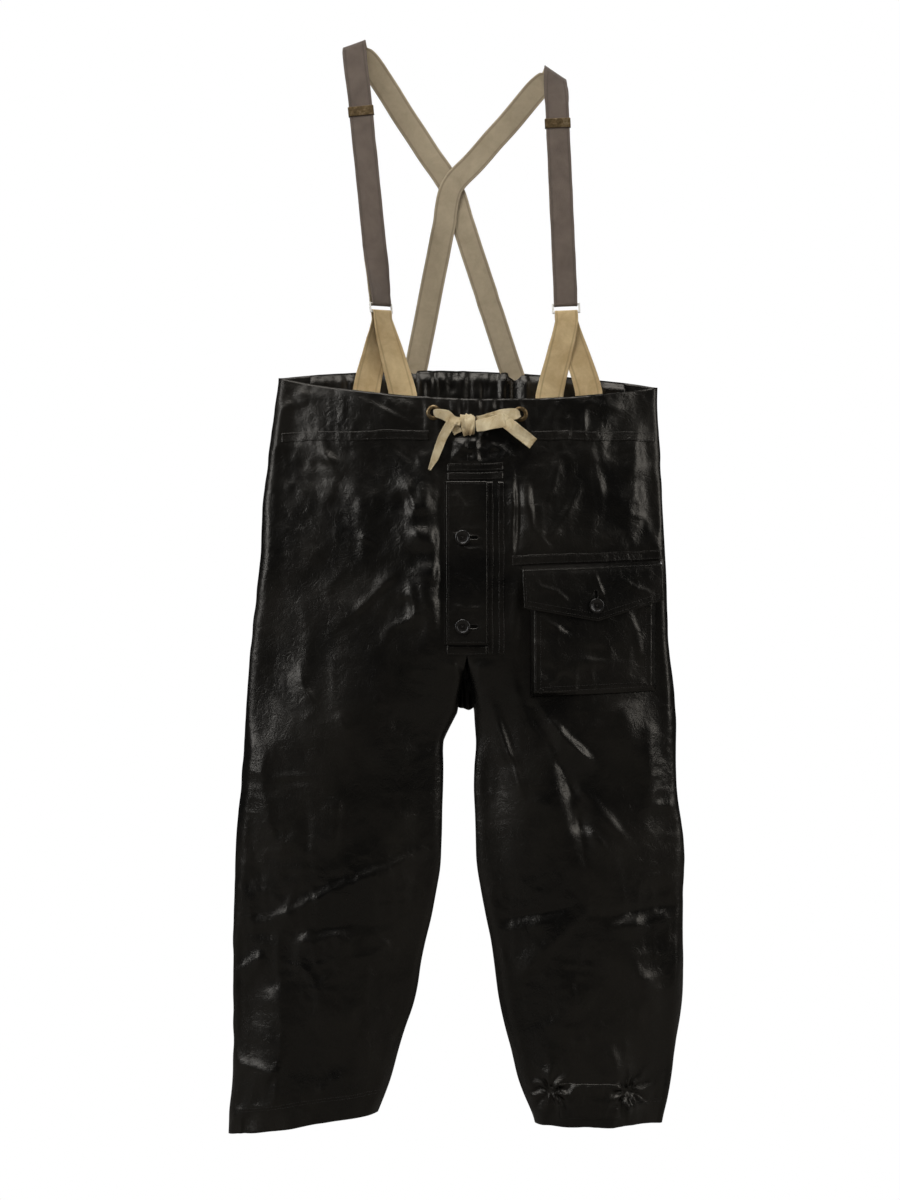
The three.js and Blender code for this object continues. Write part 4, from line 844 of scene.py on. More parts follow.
def fly_front(x, z):
    worn = unevenness(x, z, 26, 301) * 0.9 + (1 - 2 * np.abs(unevenness(x + 8, z, 15, 302))) * 0.5
    for height, width, lean, route in (
        (1.6, 4, 0.4, [(-26, -648), (0, -652), (24, -658)]),
        (1.4, 4, 0.3, [(-20, -663), (2, -670), (24, -668)]),
        (1.3, 5, 0.2, [(-22, -700), (4, -712), (20, -736)]),
        (1.2, 4, 0.2, [(-18, -586), (-4, -612), (-8, -636)]),
        (1.3, 4, 0.2, [(-24, -742), (-4, -750), (22, -748)]),
    ):
        worn = worn + crease(x, z, height, width, lean, route)
    return worn


def fly_point(x, z):
    edge = smooth(-29, -22, x)
    y = -(42.6 + 0.5 + np.clip(fly_front(x, z), -0.4, 3.0) * edge * (1 - smooth(16, 26, x)) * 0.8)
    return np.stack([x, y, z], axis=-1)


fly_slots = [((2.1, -42.6, z), (1, 0, 0), (0, 1, 0)) for z in (-654, -774)]
fly = flap_sheet(
    "fly_flap_cloth",
    lambda u, v: -29 + 55 * u + 0.5 * unevenness(u * 0, v * 220, 22, 303) * (1 - u),
    lambda u, v: -578 - 220 * v,
    fly_point, fly_slots, cloth_m, 44, 150,
)
on(fly, "fly_flap", "coated_cloth", "fly_flap")
fly_rows = [
    fly_point(np.full(90, -25.5), np.linspace(-581, -795, 90)),
    fly_point(np.linspace(-25.5, 23, 24), np.full(24, -581.5)),
    fly_point(np.linspace(-25.5, 23, 24), np.full(24, -795)),
]
for line in fly_rows:
    line[:, 1] -= 0.2
on(stitches("fly_flap_stitches", fly_rows, (0, -1, 0)), "fly_flap", "thread")
rings = [slot_ring((2.1, -43.6, z), (1, 0, 0), (0, -1, 0)) for z in (-654, -774)]
on(stitches("fly_buttonhole_stitches", rings, (0, -1, 0), 0.9, 1.1, 0.45), "fly_flap", "thread")


def block(name, size, place=(0, 0, 0)):
    """A block of this size in metres, standing here, to be cut and rounded."""
    bpy.ops.object.select_all(action="DESELECT")
    bpy.ops.mesh.primitive_cube_add(size=1, location=place)
    piece = bpy.context.object
    piece.name = name
    piece.scale = size
    bpy.ops.object.transform_apply(location=True, rotation=True, scale=True)
    return piece


stand = block("fly_stand_cloth", (0.058, cloth_m, 0.220), (-0.003, -0.04022, -0.688))
apply(stand, "BEVEL", width=0.0005, segments=3)
stand.data.materials.append(black_cloth)
on(stand, "trousers", "coated_cloth", "fly_stand")


# ---- Buttons -----------------------------------------------------------------------------------
# Black moulded buttons of 20 mm with a raised rim, a dished face and four holes, sewn through with
# crossed thread on a short shank.
button_black = speckled(
    "black_button", (260, 6, 0.65), [(0.35, (0.0025, 0.0022, 0.002)), (0.7, (0.009, 0.007, 0.005))],
    gloss=(0.2, 0.42), relief_m=(0.6, 0.0001), Roughness=0.3,
)


def button(name, back, out, shank, body, node_name):
    """back is the middle of the shank's foot in millimetres, out the way that the button faces."""
    profile = [(0, 0), (1.8, 0), (1.8, shank), (8.6, shank), (9.6, shank + 0.5), (10, shank + 1.3),
               (9.9, shank + 2.3), (9.2, shank + 2.8), (8.1, shank + 2.8), (7.3, shank + 2.3),
               (6.2, shank + 1.75), (3.4, shank + 1.5), (0, shank + 1.45)]
    points, faces = [], []
    for r, h in profile:
        points += [(r * math.cos(t * math.pi / 24), r * math.sin(t * math.pi / 24), h) for t in range(48)]
    for low in range(0, 48 * (len(profile) - 1), 48):
        faces += [[low + t, low + (t + 1) % 48, low + 48 + (t + 1) % 48, low + 48 + t] for t in range(48)]
    piece = mesh_piece(name, points, faces)
    recalculate(piece)
    for dx, dy in ((1.9, 1.9), (-1.9, 1.9), (1.9, -1.9), (-1.9, -1.9)):
        bpy.ops.object.select_all(action="DESELECT")
        bpy.ops.mesh.primitive_cylinder_add(
            vertices=14, radius=0.0009, depth=0.004, location=(dx * 0.001, dy * 0.001, (shank + 2.2) * 0.001)
        )
        cut_out(piece, bpy.context.object)
    piece.data.materials.clear()
    piece.data.materials.append(button_black)
    normal = Vector(out).normalized()
    across = Vector((0, 0, 1)).cross(normal).normalized()
    turn = Matrix((across, normal.cross(across), normal)).transposed().to_4x4()
    place = Matrix.Translation(Vector(back) * 0.001) @ turn
    piece.data.transform(place)
    piece.data.polygons.foreach_set("use_smooth", np.ones(len(piece.data.polygons), bool))
    pick(piece)
    bpy.ops.object.shade_smooth_by_angle(angle=math.radians(40))
    on(piece, body, "button", node_name)
    threads = []
    for sign in (1, -1):
        t = np.linspace(-2.2, 2.2, 9)
        local = np.stack([t, sign * t, shank + 1.75 + 0.35 * (1 - (t / 2.2) ** 2)], axis=-1)
        world = [np.array(place @ Vector(p * 0.001)) * 1000 for p in local]
        threads.append(np.array(world))
    sewn = stitches(f"{name}_thread", threads, normal, 5.8, 0.4, 0.4)
    on(sewn, body, "thread")


for name, z in (("fly_button_upper", -654), ("fly_button_lower", -774)):
    button(f"{name}_moulded", (-7, -41.1, z), (0, -1, 0), 2.3, "trousers", name)


# ---- Thigh pocket ------------------------------------------------------------------------------
# A patch pouch of the same cloth stands a little off the left leg, under a pointed flap that hinges on
# its top seam and buttons to the pouch. Its edges are turned in and double stitched.
pocket_middle, pocket_top = 170.0, -694.0
pocket_slope, pocket_lean, pocket_tilt = 0.17266, 0.17097, 0.0437


def pouch_out(x, z):
    """How far the pouch's face stands out."""
    down = np.clip((pocket_top - z + (x - pocket_middle) * pocket_tilt) / 172, 0, 1)
    chord = 27.15 - pocket_slope * (x - pocket_middle)
    full = 10.2 - 3.5 * down**2
    creases = 1.3 * unevenness(x, z, 38, 401) + 0.8 * (1 - 2 * np.abs(unevenness(x - 5, z + 9, 24, 402)))
    for height, width, lean, route in (
        (2.0, 6, 0.3, [(96, -760), (140, -790), (200, -796)]),
        (1.8, 6, 0.3, [(110, -840), (160, -820), (225, -826)]),
        (1.8, 7, 0.2, [(150, -720), (164, -760), (160, -800)]),
        (1.6, 6, 0.2, [(210, -740), (228, -780), (236, -820)]),
        (1.4, 5, 0.3, [(90, -800), (120, -812), (150, -846)]),
    ):
        creases = creases + crease(x, z, height, width, lean, route)
    return chord + full + 0.9 * np.tanh(creases / 0.9) * np.where(creases > 0, 1, 1.6)


def pouch_point(u, v):
    x = 84 + 172 * u
    z = pocket_top - 10 - 162 * v + (x - pocket_middle) * pocket_tilt
    lie = on_cloth(-1, x, z) + 0.5
    edge = smooth(0, 0.035, u) * smooth(0, 0.035, 1 - u) * smooth(0, 0.045, 1 - v)
    out = lie + (np.maximum(pouch_out(x, z), lie + 0.8) - lie) * (0.08 + 0.92 * edge)
    return np.stack([x, -out, z], axis=-1)


u, v = np.meshgrid(np.linspace(0, 1, 86), np.linspace(0, 1, 82))
pouch_points = pouch_point(u, v)
pouch = mesh_piece("pocket_pouch_cloth", pouch_points.reshape(-1, 3), grid_faces(u.shape))
pouch.data.materials.append(black_cloth)
apply(pouch, "SOLIDIFY", thickness=cloth_m, offset=-1)
on(pouch, "trousers", "coated_cloth", "pocket_pouch")
pouch_lines = []
for inset in (0.045, 0.082):
    t = np.linspace(0, 1, 80)
    pouch_lines.append(pouch_point(inset + 0 * t, 0.06 + t * (0.94 - inset)))
    pouch_lines.append(pouch_point(1 - inset + 0 * t, 0.06 + t * (0.94 - inset)))
    pouch_lines.append(pouch_point(inset + t * (1 - 2 * inset), 1 - inset + 0 * t))
for line in pouch_lines:
    line[:, 1] -= 0.15
on(stitches("pocket_pouch_stitches", pouch_lines, (-0.17, -1, 0)), "trousers", "thread")

hinge_turn = Matrix.Rotation(math.radians(90), 4, "X") @ Matrix.Rotation(pocket_lean, 4, "Y")
hinge_turn = hinge_turn @ Matrix.Rotation(math.radians(2.5), 4, "Z")
hinge_place = Matrix.Translation((166, -38.64, pocket_top)) @ hinge_turn
to_leg = np.array(hinge_place)


def on_flap(a, b, out):
    """From the flap's own frame, across its hinge, up and out, to the trousers."""
    local = np.stack([a, b, out, np.ones_like(a)], axis=-1)
    return (local @ to_leg.T)[..., :3]


def flap_foot(a):
    return np.where(a < 6, -51 + (-73 + 51) * (a + 94.5) / 100.5, -73 + (-48 + 73) * (a - 6) / 94)


def flap_out(a, b):
    creases = 0.9 * unevenness(a, b, 30, 411) + 0.5 * (1 - 2 * np.abs(unevenness(a, b + 4, 17, 412)))
    for height, width, lean, route in (
        (2.2, 4, 0.5, [(4, -6), (10, -26), (16, -42)]),
        (1.6, 5, 0.3, [(-80, -20), (-50, -30), (-30, -48)]),
        (1.4, 5, 0.3, [(40, -16), (60, -30), (84, -38)]),
    ):
        creases = creases + crease(a, b, height, width, lean, route)
    return 0.35 + (0.6 + 1.3 * np.tanh((creases - 0.5) / 1.6)).clip(0) * smooth(0, 9, -b)


up_way, out_way = hinge_turn @ Vector((0, 1, 0)), hinge_turn @ Vector((0, 0, 1))
flap = flap_sheet(
    "pocket_flap_cloth",
    lambda u, v: -94.5 + 194 * u + 0.5 * unevenness(v * 50 + 200 * u, v * 0, 12, 413),
    lambda u, v: flap_foot(-94.5 + 194 * u) * v,
    lambda a, b: on_flap(a, b, flap_out(a, b) + 0.6 + 0.7 * smooth(0, 9, -b)),
    [(on_flap(np.array(5.0), np.array(-43.0), np.array(1.0)), up_way, out_way)],
    cloth_m, 96, 40,
)
on(flap, "pocket_flap", "coated_cloth", "pocket_flap")
t = np.linspace(0, 1, 60)
flap_lines = [on_flap(-91 + 0 * t, -9 - 38 * t, flap_out(-91 + 0 * t, -9 - 38 * t) + 1.45)]
for inset in (3.5, 10):
    a = -91 + 187 * t
    b = flap_foot(a) + inset
    flap_lines.append(on_flap(a, b, flap_out(a, b) + 1.45))
on(stitches("pocket_flap_stitches", flap_lines, out_way), "pocket_flap", "thread")
hole_ring = slot_ring(on_flap(np.array(5.0), np.array(-43.0), np.array(2.2)), up_way, out_way)
on(stitches("pocket_buttonhole_stitches", [hole_ring], out_way, 0.9, 1.1, 0.45), "pocket_flap", "thread")
button_foot = on_flap(np.array(5.0), np.array(-52.0), np.array(-0.3))
button("pocket_button_moulded", button_foot, out_way, 3.0, "trousers", "pocket_button")

# The flap's root: the fold of cloth from the seam on the leg out to the line that the flap turns on.
u, v = np.meshgrid(np.linspace(0, 1, 96), np.linspace(0, 1, 14))
x = 166 + (-94.5 + 194 * u) * math.cos(pocket_lean)
seam = pocket_top + (x - 166) * pocket_tilt
fold_out = 38.64 - pocket_slope * (x - 166) - 1.4
z = seam + 6 * (1 - v) + 0.4 * v
out = (on_cloth(-1, x, z) + 0.8) * (1 - v) + fold_out * v
points = np.stack([x, -out, z], axis=-1).reshape(-1, 3)
root = mesh_piece("pocket_flap_root_cloth", points, grid_faces(u.shape))
root.data.materials.append(black_cloth)
apply(root, "SOLIDIFY", thickness=0.001, offset=-1)
on(root, "trousers", "coated_cloth", "pocket_flap_root")

for name, x in (("pocket_tack_inner", 98.0), ("pocket_tack_outer", 240.0)):
    z = -857 + (x - pocket_middle) * pocket_tilt
    down = (pocket_top - 10 - z + (x - pocket_middle) * pocket_tilt) / 162
    y = float(pouch_point(np.array((x - 84) / 172), np.array(down))[1])
    bpy.ops.object.select_all(action="DESELECT")
    bpy.ops.mesh.primitive_cylinder_add(
        vertices=20, radius=0.004, depth=0.0012,
        location=(x * 0.001, (y - 0.3) * 0.001, z * 0.001), rotation=(math.pi / 2, 0, -pocket_lean),
    )
    tack = bpy.context.object
    tack.name = f"{name}_cloth"
    bpy.ops.object.transform_apply(location=True, rotation=True, scale=True)
    apply(tack, "BEVEL", width=0.0004, segments=3)
    tack.data.materials.append(tape_cloth)
    on(tack, "trousers", "seam_tape", name)
    ring_turn = np.linspace(0, 2 * np.pi, 25)
    ring_line = [x + 2.6 * np.cos(ring_turn), 0 * ring_turn + y - 1.1, z + 2.6 * np.sin(ring_turn)]
    ring_line = np.stack(ring_line, axis=-1)
    on(stitches(f"{name}_stitches", [ring_line], (0, -1, 0), 1.4, 1.9, 0.35), "trousers", "thread")


# ---- Eyelets -----------------------------------------------------------------------------------
# Two rolled brass eyelets with washers behind, tarnished dark, where the drawstring comes out.
brass = speckled(
    "tarnished_brass", (160, 7, 0.7),
    [(0.3, (0.035, 0.022, 0.010)), (0.52, (0.14, 0.095, 0.045)), (0.75, (0.34, 0.27, 0.17))],
    gloss=(0.55, 0.25), relief_m=(0.5, 0.0001), Metallic=0.85,
)
for side, x, z in (("right", -46.0, -485.0), ("left", 71.0, -487.0)):
    out = float(on_cloth(-1, x, z))
    profile = [(5, -1.6), (5.0, 1.0), (5.6, 1.75), (6.8, 2.05), (8.6, 1.7),
               (10, 1.0), (10.5, 0.45), (10.4, 0.15), (6.3, 0.3), (6.2, -1.6)]
    slope = math.atan((float(on_cloth(-1, x + 8, z)) - float(on_cloth(-1, x - 8, z))) / 16)
    place = Matrix.Translation((x, -out, z)) @ Matrix.Rotation(-slope, 4, "Z")
    place = place @ Matrix.Rotation(math.pi / 2, 4, "X")
    points, faces = [], []
    for r, h in profile:
        angles = [t * math.pi / 24 for t in range(48)]
        points += [place @ Vector((r * math.cos(angle), r * math.sin(angle), h)) for angle in angles]
    for k in range(len(profile)):
        low, high = k * 48, ((k + 1) % len(profile)) * 48
        faces += [[low + t, low + (t + 1) % 48, high + (t + 1) % 48, high + t] for t in range(48)]
    rim = mesh_piece(f"eyelet_{side}_rolled", points, faces)
    recalculate(rim)
    rim.data.materials.append(brass)
    on(rim, "trousers", "eyelet_brass", f"eyelet_{side}")
    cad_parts[f"eyelet_washer_{side}"].data.materials.clear()
    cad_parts[f"eyelet_washer_{side}"].data.materials.append(brass)


# ---- Bow ---------------------------------------------------------------------------------------
# The drawstring leaves the eyelets as two leads and is tied in front in a flat, crumpled bow: a wrapped
# knot, a short loop on each side and the two ends. Herringbone braid of unbleached cotton, soiled.
cotton, cotton_tree, cotton_shader = finish("natural_cotton_braid", Roughness=0.88)
cotton_shader.inputs["Sheen Weight"].default_value = 0.25
cotton_shader.inputs["Sheen Roughness"].default_value = 0.5
along_cloth = node(cotton_tree, "UVMap", uv_map="UVMap")
apart = node(cotton_tree, "SeparateXYZ")
over = node(cotton_tree, "Math", {1: 2600.0}, operation="MULTIPLY")
mirrored = node(cotton_tree, "Math", operation="ABSOLUTE")
slant = node(cotton_tree, "Math", {1: 2600.0}, operation="MULTIPLY")
summed = node(cotton_tree, "Math", operation="ADD")
yarn = node(cotton_tree, "Math", operation="SINE")
cotton_place = node(cotton_tree, "TexCoord")
soil = node(cotton_tree, "TexNoise", {"Scale": 55, "Detail": 6, "Roughness": 0.65, "Distortion": 0.5})
fuzz = node(cotton_tree, "TexNoise", {"Scale": 1500, "Detail": 3})
cotton_tint = ramp(
    cotton_tree, [(0.28, (0.30, 0.20, 0.09)), (0.45, (0.56, 0.44, 0.25)), (0.7, (0.72, 0.62, 0.41))]
)
yarn_height = node(cotton_tree, "Math", {1: 0.5}, operation="MULTIPLY")
with_fuzz = node(cotton_tree, "Math", operation="ADD")
cotton_bump = node(cotton_tree, "Bump", {"Strength": 0.8, "Distance": 0.0004})
wire(
    cotton_tree,
    (along_cloth, "UV", apart, "Vector"), (apart, "X", mirrored, 0), (mirrored, 0, slant, 0),
    (apart, "Y", over, 0), (slant, 0, summed, 0), (over, 0, summed, 1), (summed, 0, yarn, 0),
    (cotton_place, "Object", soil, "Vector"), (cotton_place, "Object", fuzz, "Vector"),
    (soil, "Fac", cotton_tint, "Fac"), (cotton_tint, "Color", cotton_shader, "Base Color"),
    (yarn, 0, yarn_height, 0), (yarn_height, 0, with_fuzz, 0), (fuzz, "Fac", with_fuzz, 1),
    (with_fuzz, 0, cotton_bump, "Height"), (cotton_bump, "Normal", cotton_shader, "Normal"),
)


def rumpled(amount, seed):
    """Lets a soft band buckle across its width, as a tied braid does."""
    def shape(line, across, out, width, along):
        lean = amount * unevenness(along, along * 0, 13, seed)[:, None]
        tilted = across * np.cos(lean) + out * np.sin(lean)
        narrowed = width * (1 - 0.12 * unevenness(along, along * 0, 17, seed + 1) ** 2)
        return tilted, np.cross(np.cross(across, out), tilted), narrowed, line
    return shape


bow = {
    "drawstring_lead_right": [
        ((-46, -36.0, -485), (0, 0, 1), 7), ((-43, -42.3, -486), (0, 0, 1), 12),
        ((-29, -46.3, -490), (0.25, 0, 1), 15), ((-19.9, -45.6, -496.4), (0, 0, 1), 13),
        ((-10, -45.3, -497.5), (0, 0, 1), 12),
    ],
    "drawstring_lead_left": [
        ((71, -34.6, -487), (0, 0, 1), 7), ((66, -41.6, -487), (0, 0, 1), 15),
        ((47, -43.8, -490), (-0.1, 0, 1), 18), ((17.9, -43.8, -497.8), (0, 0, 1), 18),
        ((12, -43.8, -498), (0, 0, 1), 17),
    ],
    "bow_loop_left": [
        ((11, -45.6, -504), (0, 0, 1), 15), ((19.9, -47.9, -502.6), (0, 0, 1), 17),
        ((30, -50.4, -500.5), (-0.1, 0, 1), 19), ((43, -50.2, -497.5), (-0.1, 0, 1), 19),
        ((49, -48.6, -496.5), (-0.1, 0, 1), 18), ((48, -46.6, -497), (-0.1, 0, 1), 17),
        ((38, -45.6, -498.6), (-0.1, 0, 1), 17), ((14, -45.2, -500), (0, 0, 1), 14),
    ],
    "bow_loop_right": [
        ((-10, -44.0, -506), (0, 0, 1), 12), ((-16, -43.4, -508.5), (0, 0, 1), 13),
        ((-21, -43.2, -511), (0.1, 0, 1), 13),
    ],
}
for k, (name, stops) in enumerate(bow.items()):
    piece, _, _ = band(f"{name}_braid", stops, 1.0, 14, rumpled(0.35, 500 + 7 * k), sag=0.5, seed=60 + k)
    recalculate(piece)
    piece.data.materials.append(cotton)
    on(piece, "trousers", "cotton_tape", name)

# The knot: the braid wrapped over itself, with its turns showing as slanting folds.
for k, (lean, lift, low, high) in enumerate(
    ((0.25, 0.0, -15, 13), (-0.35, 1.5, -13, 12), (0.12, 2.6, -12, 11))
):
    turn = np.linspace(-0.62 * np.pi, 0.62 * np.pi, 13)
    stops = []
    across = (1, 0, lean)
    for t in turn:
        z = -501 + (high - low) / 2 * math.sin(t) + (high + low) / 2
        x = 1 + lean * 8 * math.sin(t) * -1 + 1.5 * k - 1.5
        y = -45.4 + 4.2 - (4.4 + lift) * math.cos(t)
        stops.append(((x, y, z), across, 15 + 3 * math.cos(t) - 2 * k))
    piece, _, _ = band(f"bow_knot_wrap_{k}", stops, 1.1, 6, rumpled(0.25, 540 + k), sag=0.8, seed=80 + k)
    recalculate(piece)
    piece.data.materials.append(cotton)
    on(piece, "trousers", "cotton_tape", *(["bow_knot"] if k == 0 else []))

tail_right = [
    ((x, y, z), (1, 0.1, 0.3), width)
    for x, y, z, width in (
        (-19, -46.6, -494.5, 13), (-22, -47.9, -499, 13), (-26.5, -48, -506, 13), (-33, -47.5, -518, 12.5),
        (-39, -46.5, -533, 12), (-45, -45.5, -548, 10), (-52, -44.5, -563, 4.5),
    )
]
tail_left = [
    ((14, -46.4, -497), (0, 0, 1), 13), ((30, -46.6, -495.5), (0, 0, 1), 14),
    ((46, -47, -495), (0.3, 0, 1), 15.5), ((50.5, -49, -499), (0.55, 0, 1), 17),
    ((59, -50, -505), (0.55, 0, 1), 17), ((69, -49, -513), (0.55, 0, 1), 17),
    ((79, -48, -521), (0.6, 0, 1), 17.5), ((88, -46, -528), (0.85, 0, 1), 17),
]
for name, stops, wide, exit_point, seed in (
    ("drawstring_tail_right", tail_right, 0.012, (-19, -46.6, -494.5), 91),
    ("drawstring_tail_left", tail_left, 0.0143, (14, -46.4, -497), 95),
):
    piece, line, along = band(f"{name}_braid", stops, 1.0, 12, rumpled(0.3, 560 + seed), sag=-0.6, seed=seed)
    recalculate(piece)
    piece.data.materials.append(cotton)
    on(piece, "trousers", "cotton_tape", name)

# The rest of the drawstring: one run inside the channel, from eyelet to eyelet round the back.
run = [(-51, -485), (-68, -493), (-110, -493), (-150, -493), (-190, -493), (-222, -493)]
left_run = [(77, -487)] + [(-x, z) for x, z in run[1:]]
right_front, left_front = (
    [((x, -0.92 * (float(on_cloth(-1, x, z)) - 2.6), z), (0, 0, 1), 9 if z > -490 else 19) for x, z in half]
    for half in (run, left_run)
)
rear = [
    ((x, 0.9 * (float(on_cloth(1, x, -493)) - 3.4), -493), (0, 0, 1), 19) for x in np.linspace(-222, 222, 12)
]
right_turn, left_turn = (((x, 0, -493), (0, 0, 1), 19) for x in (-238, 238))
stops = right_front + [right_turn] + rear + [left_turn] + left_front[::-1]
piece, _, _ = band("drawstring_channel_run_braid", stops, 1.0, 8, rumpled(0.1, 590), seed=99)
recalculate(piece)
piece.data.materials.append(cotton)
on(piece, "trousers", "cotton_tape", "drawstring_channel_run")


# ---- Braces ------------------------------------------------------------------------------------
# Two lengths of 32 mm cotton webbing, grey on the outside and undyed inside, sewn to the back waist,
# crossed, brought over the shoulders, round the rings and up behind to the slides.
def webbing_finish(name, dark, light, edge):
    """Ribbed webbing: fine cords along it, a weft across, and a darker line near each selvedge."""
    made, tree, shader = finish(name, Roughness=0.9)
    shader.inputs["Sheen Weight"].default_value = 0.2
    surface = node(tree, "UVMap", uv_map="UVMap")
    parts = node(tree, "SeparateXYZ")
    cords = node(tree, "Math", {1: 5200.0}, operation="MULTIPLY")
    cord_wave = node(tree, "Math", operation="SINE")
    weft = node(tree, "Math", {1: 6800.0}, operation="MULTIPLY")
    weft_wave = node(tree, "Math", operation="SINE")
    weave = node(tree, "Math", operation="MULTIPLY")
    place = node(tree, "TexCoord")
    wear = node(tree, "TexNoise", {"Scale": 30, "Detail": 7, "Roughness": 0.7, "Distortion": 0.3})
    streak = node(tree, "TexNoise", {"Scale": 600, "Detail": 2})
    tint = ramp(tree, [(0.3, dark), (0.7, light)])
    from_middle = node(tree, "Math", operation="ABSOLUTE")
    line_place = node(tree, "MapRange", {"From Min": 0.0112, "From Max": 0.0124, "To Min": 0, "To Max": 1})
    line_end = node(tree, "MapRange", {"From Min": 0.0132, "From Max": 0.0144, "To Min": 1, "To Max": 0})
    edge_line = node(tree, "Math", operation="MULTIPLY")
    softened = node(tree, "Math", {1: 0.55}, operation="MULTIPLY")
    lined = node(tree, "Mix", data_type="RGBA")
    lined.inputs[7].default_value = (*edge, 1)
    height = node(tree, "Math", operation="ADD")
    bump = node(tree, "Bump", {"Strength": 0.9, "Distance": 0.00035})
    wire(
        tree,
        (surface, "UV", parts, "Vector"), (parts, "X", cords, 0), (cords, 0, cord_wave, 0),
        (parts, "Y", weft, 0), (weft, 0, weft_wave, 0), (cord_wave, 0, weave, 0), (weft_wave, 0, weave, 1),
        (place, "Object", wear, "Vector"), (place, "Object", streak, "Vector"), (wear, "Fac", tint, "Fac"),
        (parts, "X", from_middle, 0), (from_middle, 0, line_place, "Value"),
        (from_middle, 0, line_end, "Value"), (line_place, "Result", edge_line, 0),
        (line_end, "Result", edge_line, 1), (edge_line, 0, softened, 0), (softened, 0, lined, 0),
        (tint, "Color", lined, 6), (lined, 2, shader, "Base Color"), (weave, 0, height, 0),
        (streak, "Fac", height, 1), (height, 0, bump, "Height"), (bump, "Normal", shader, "Normal"),
    )
    return made


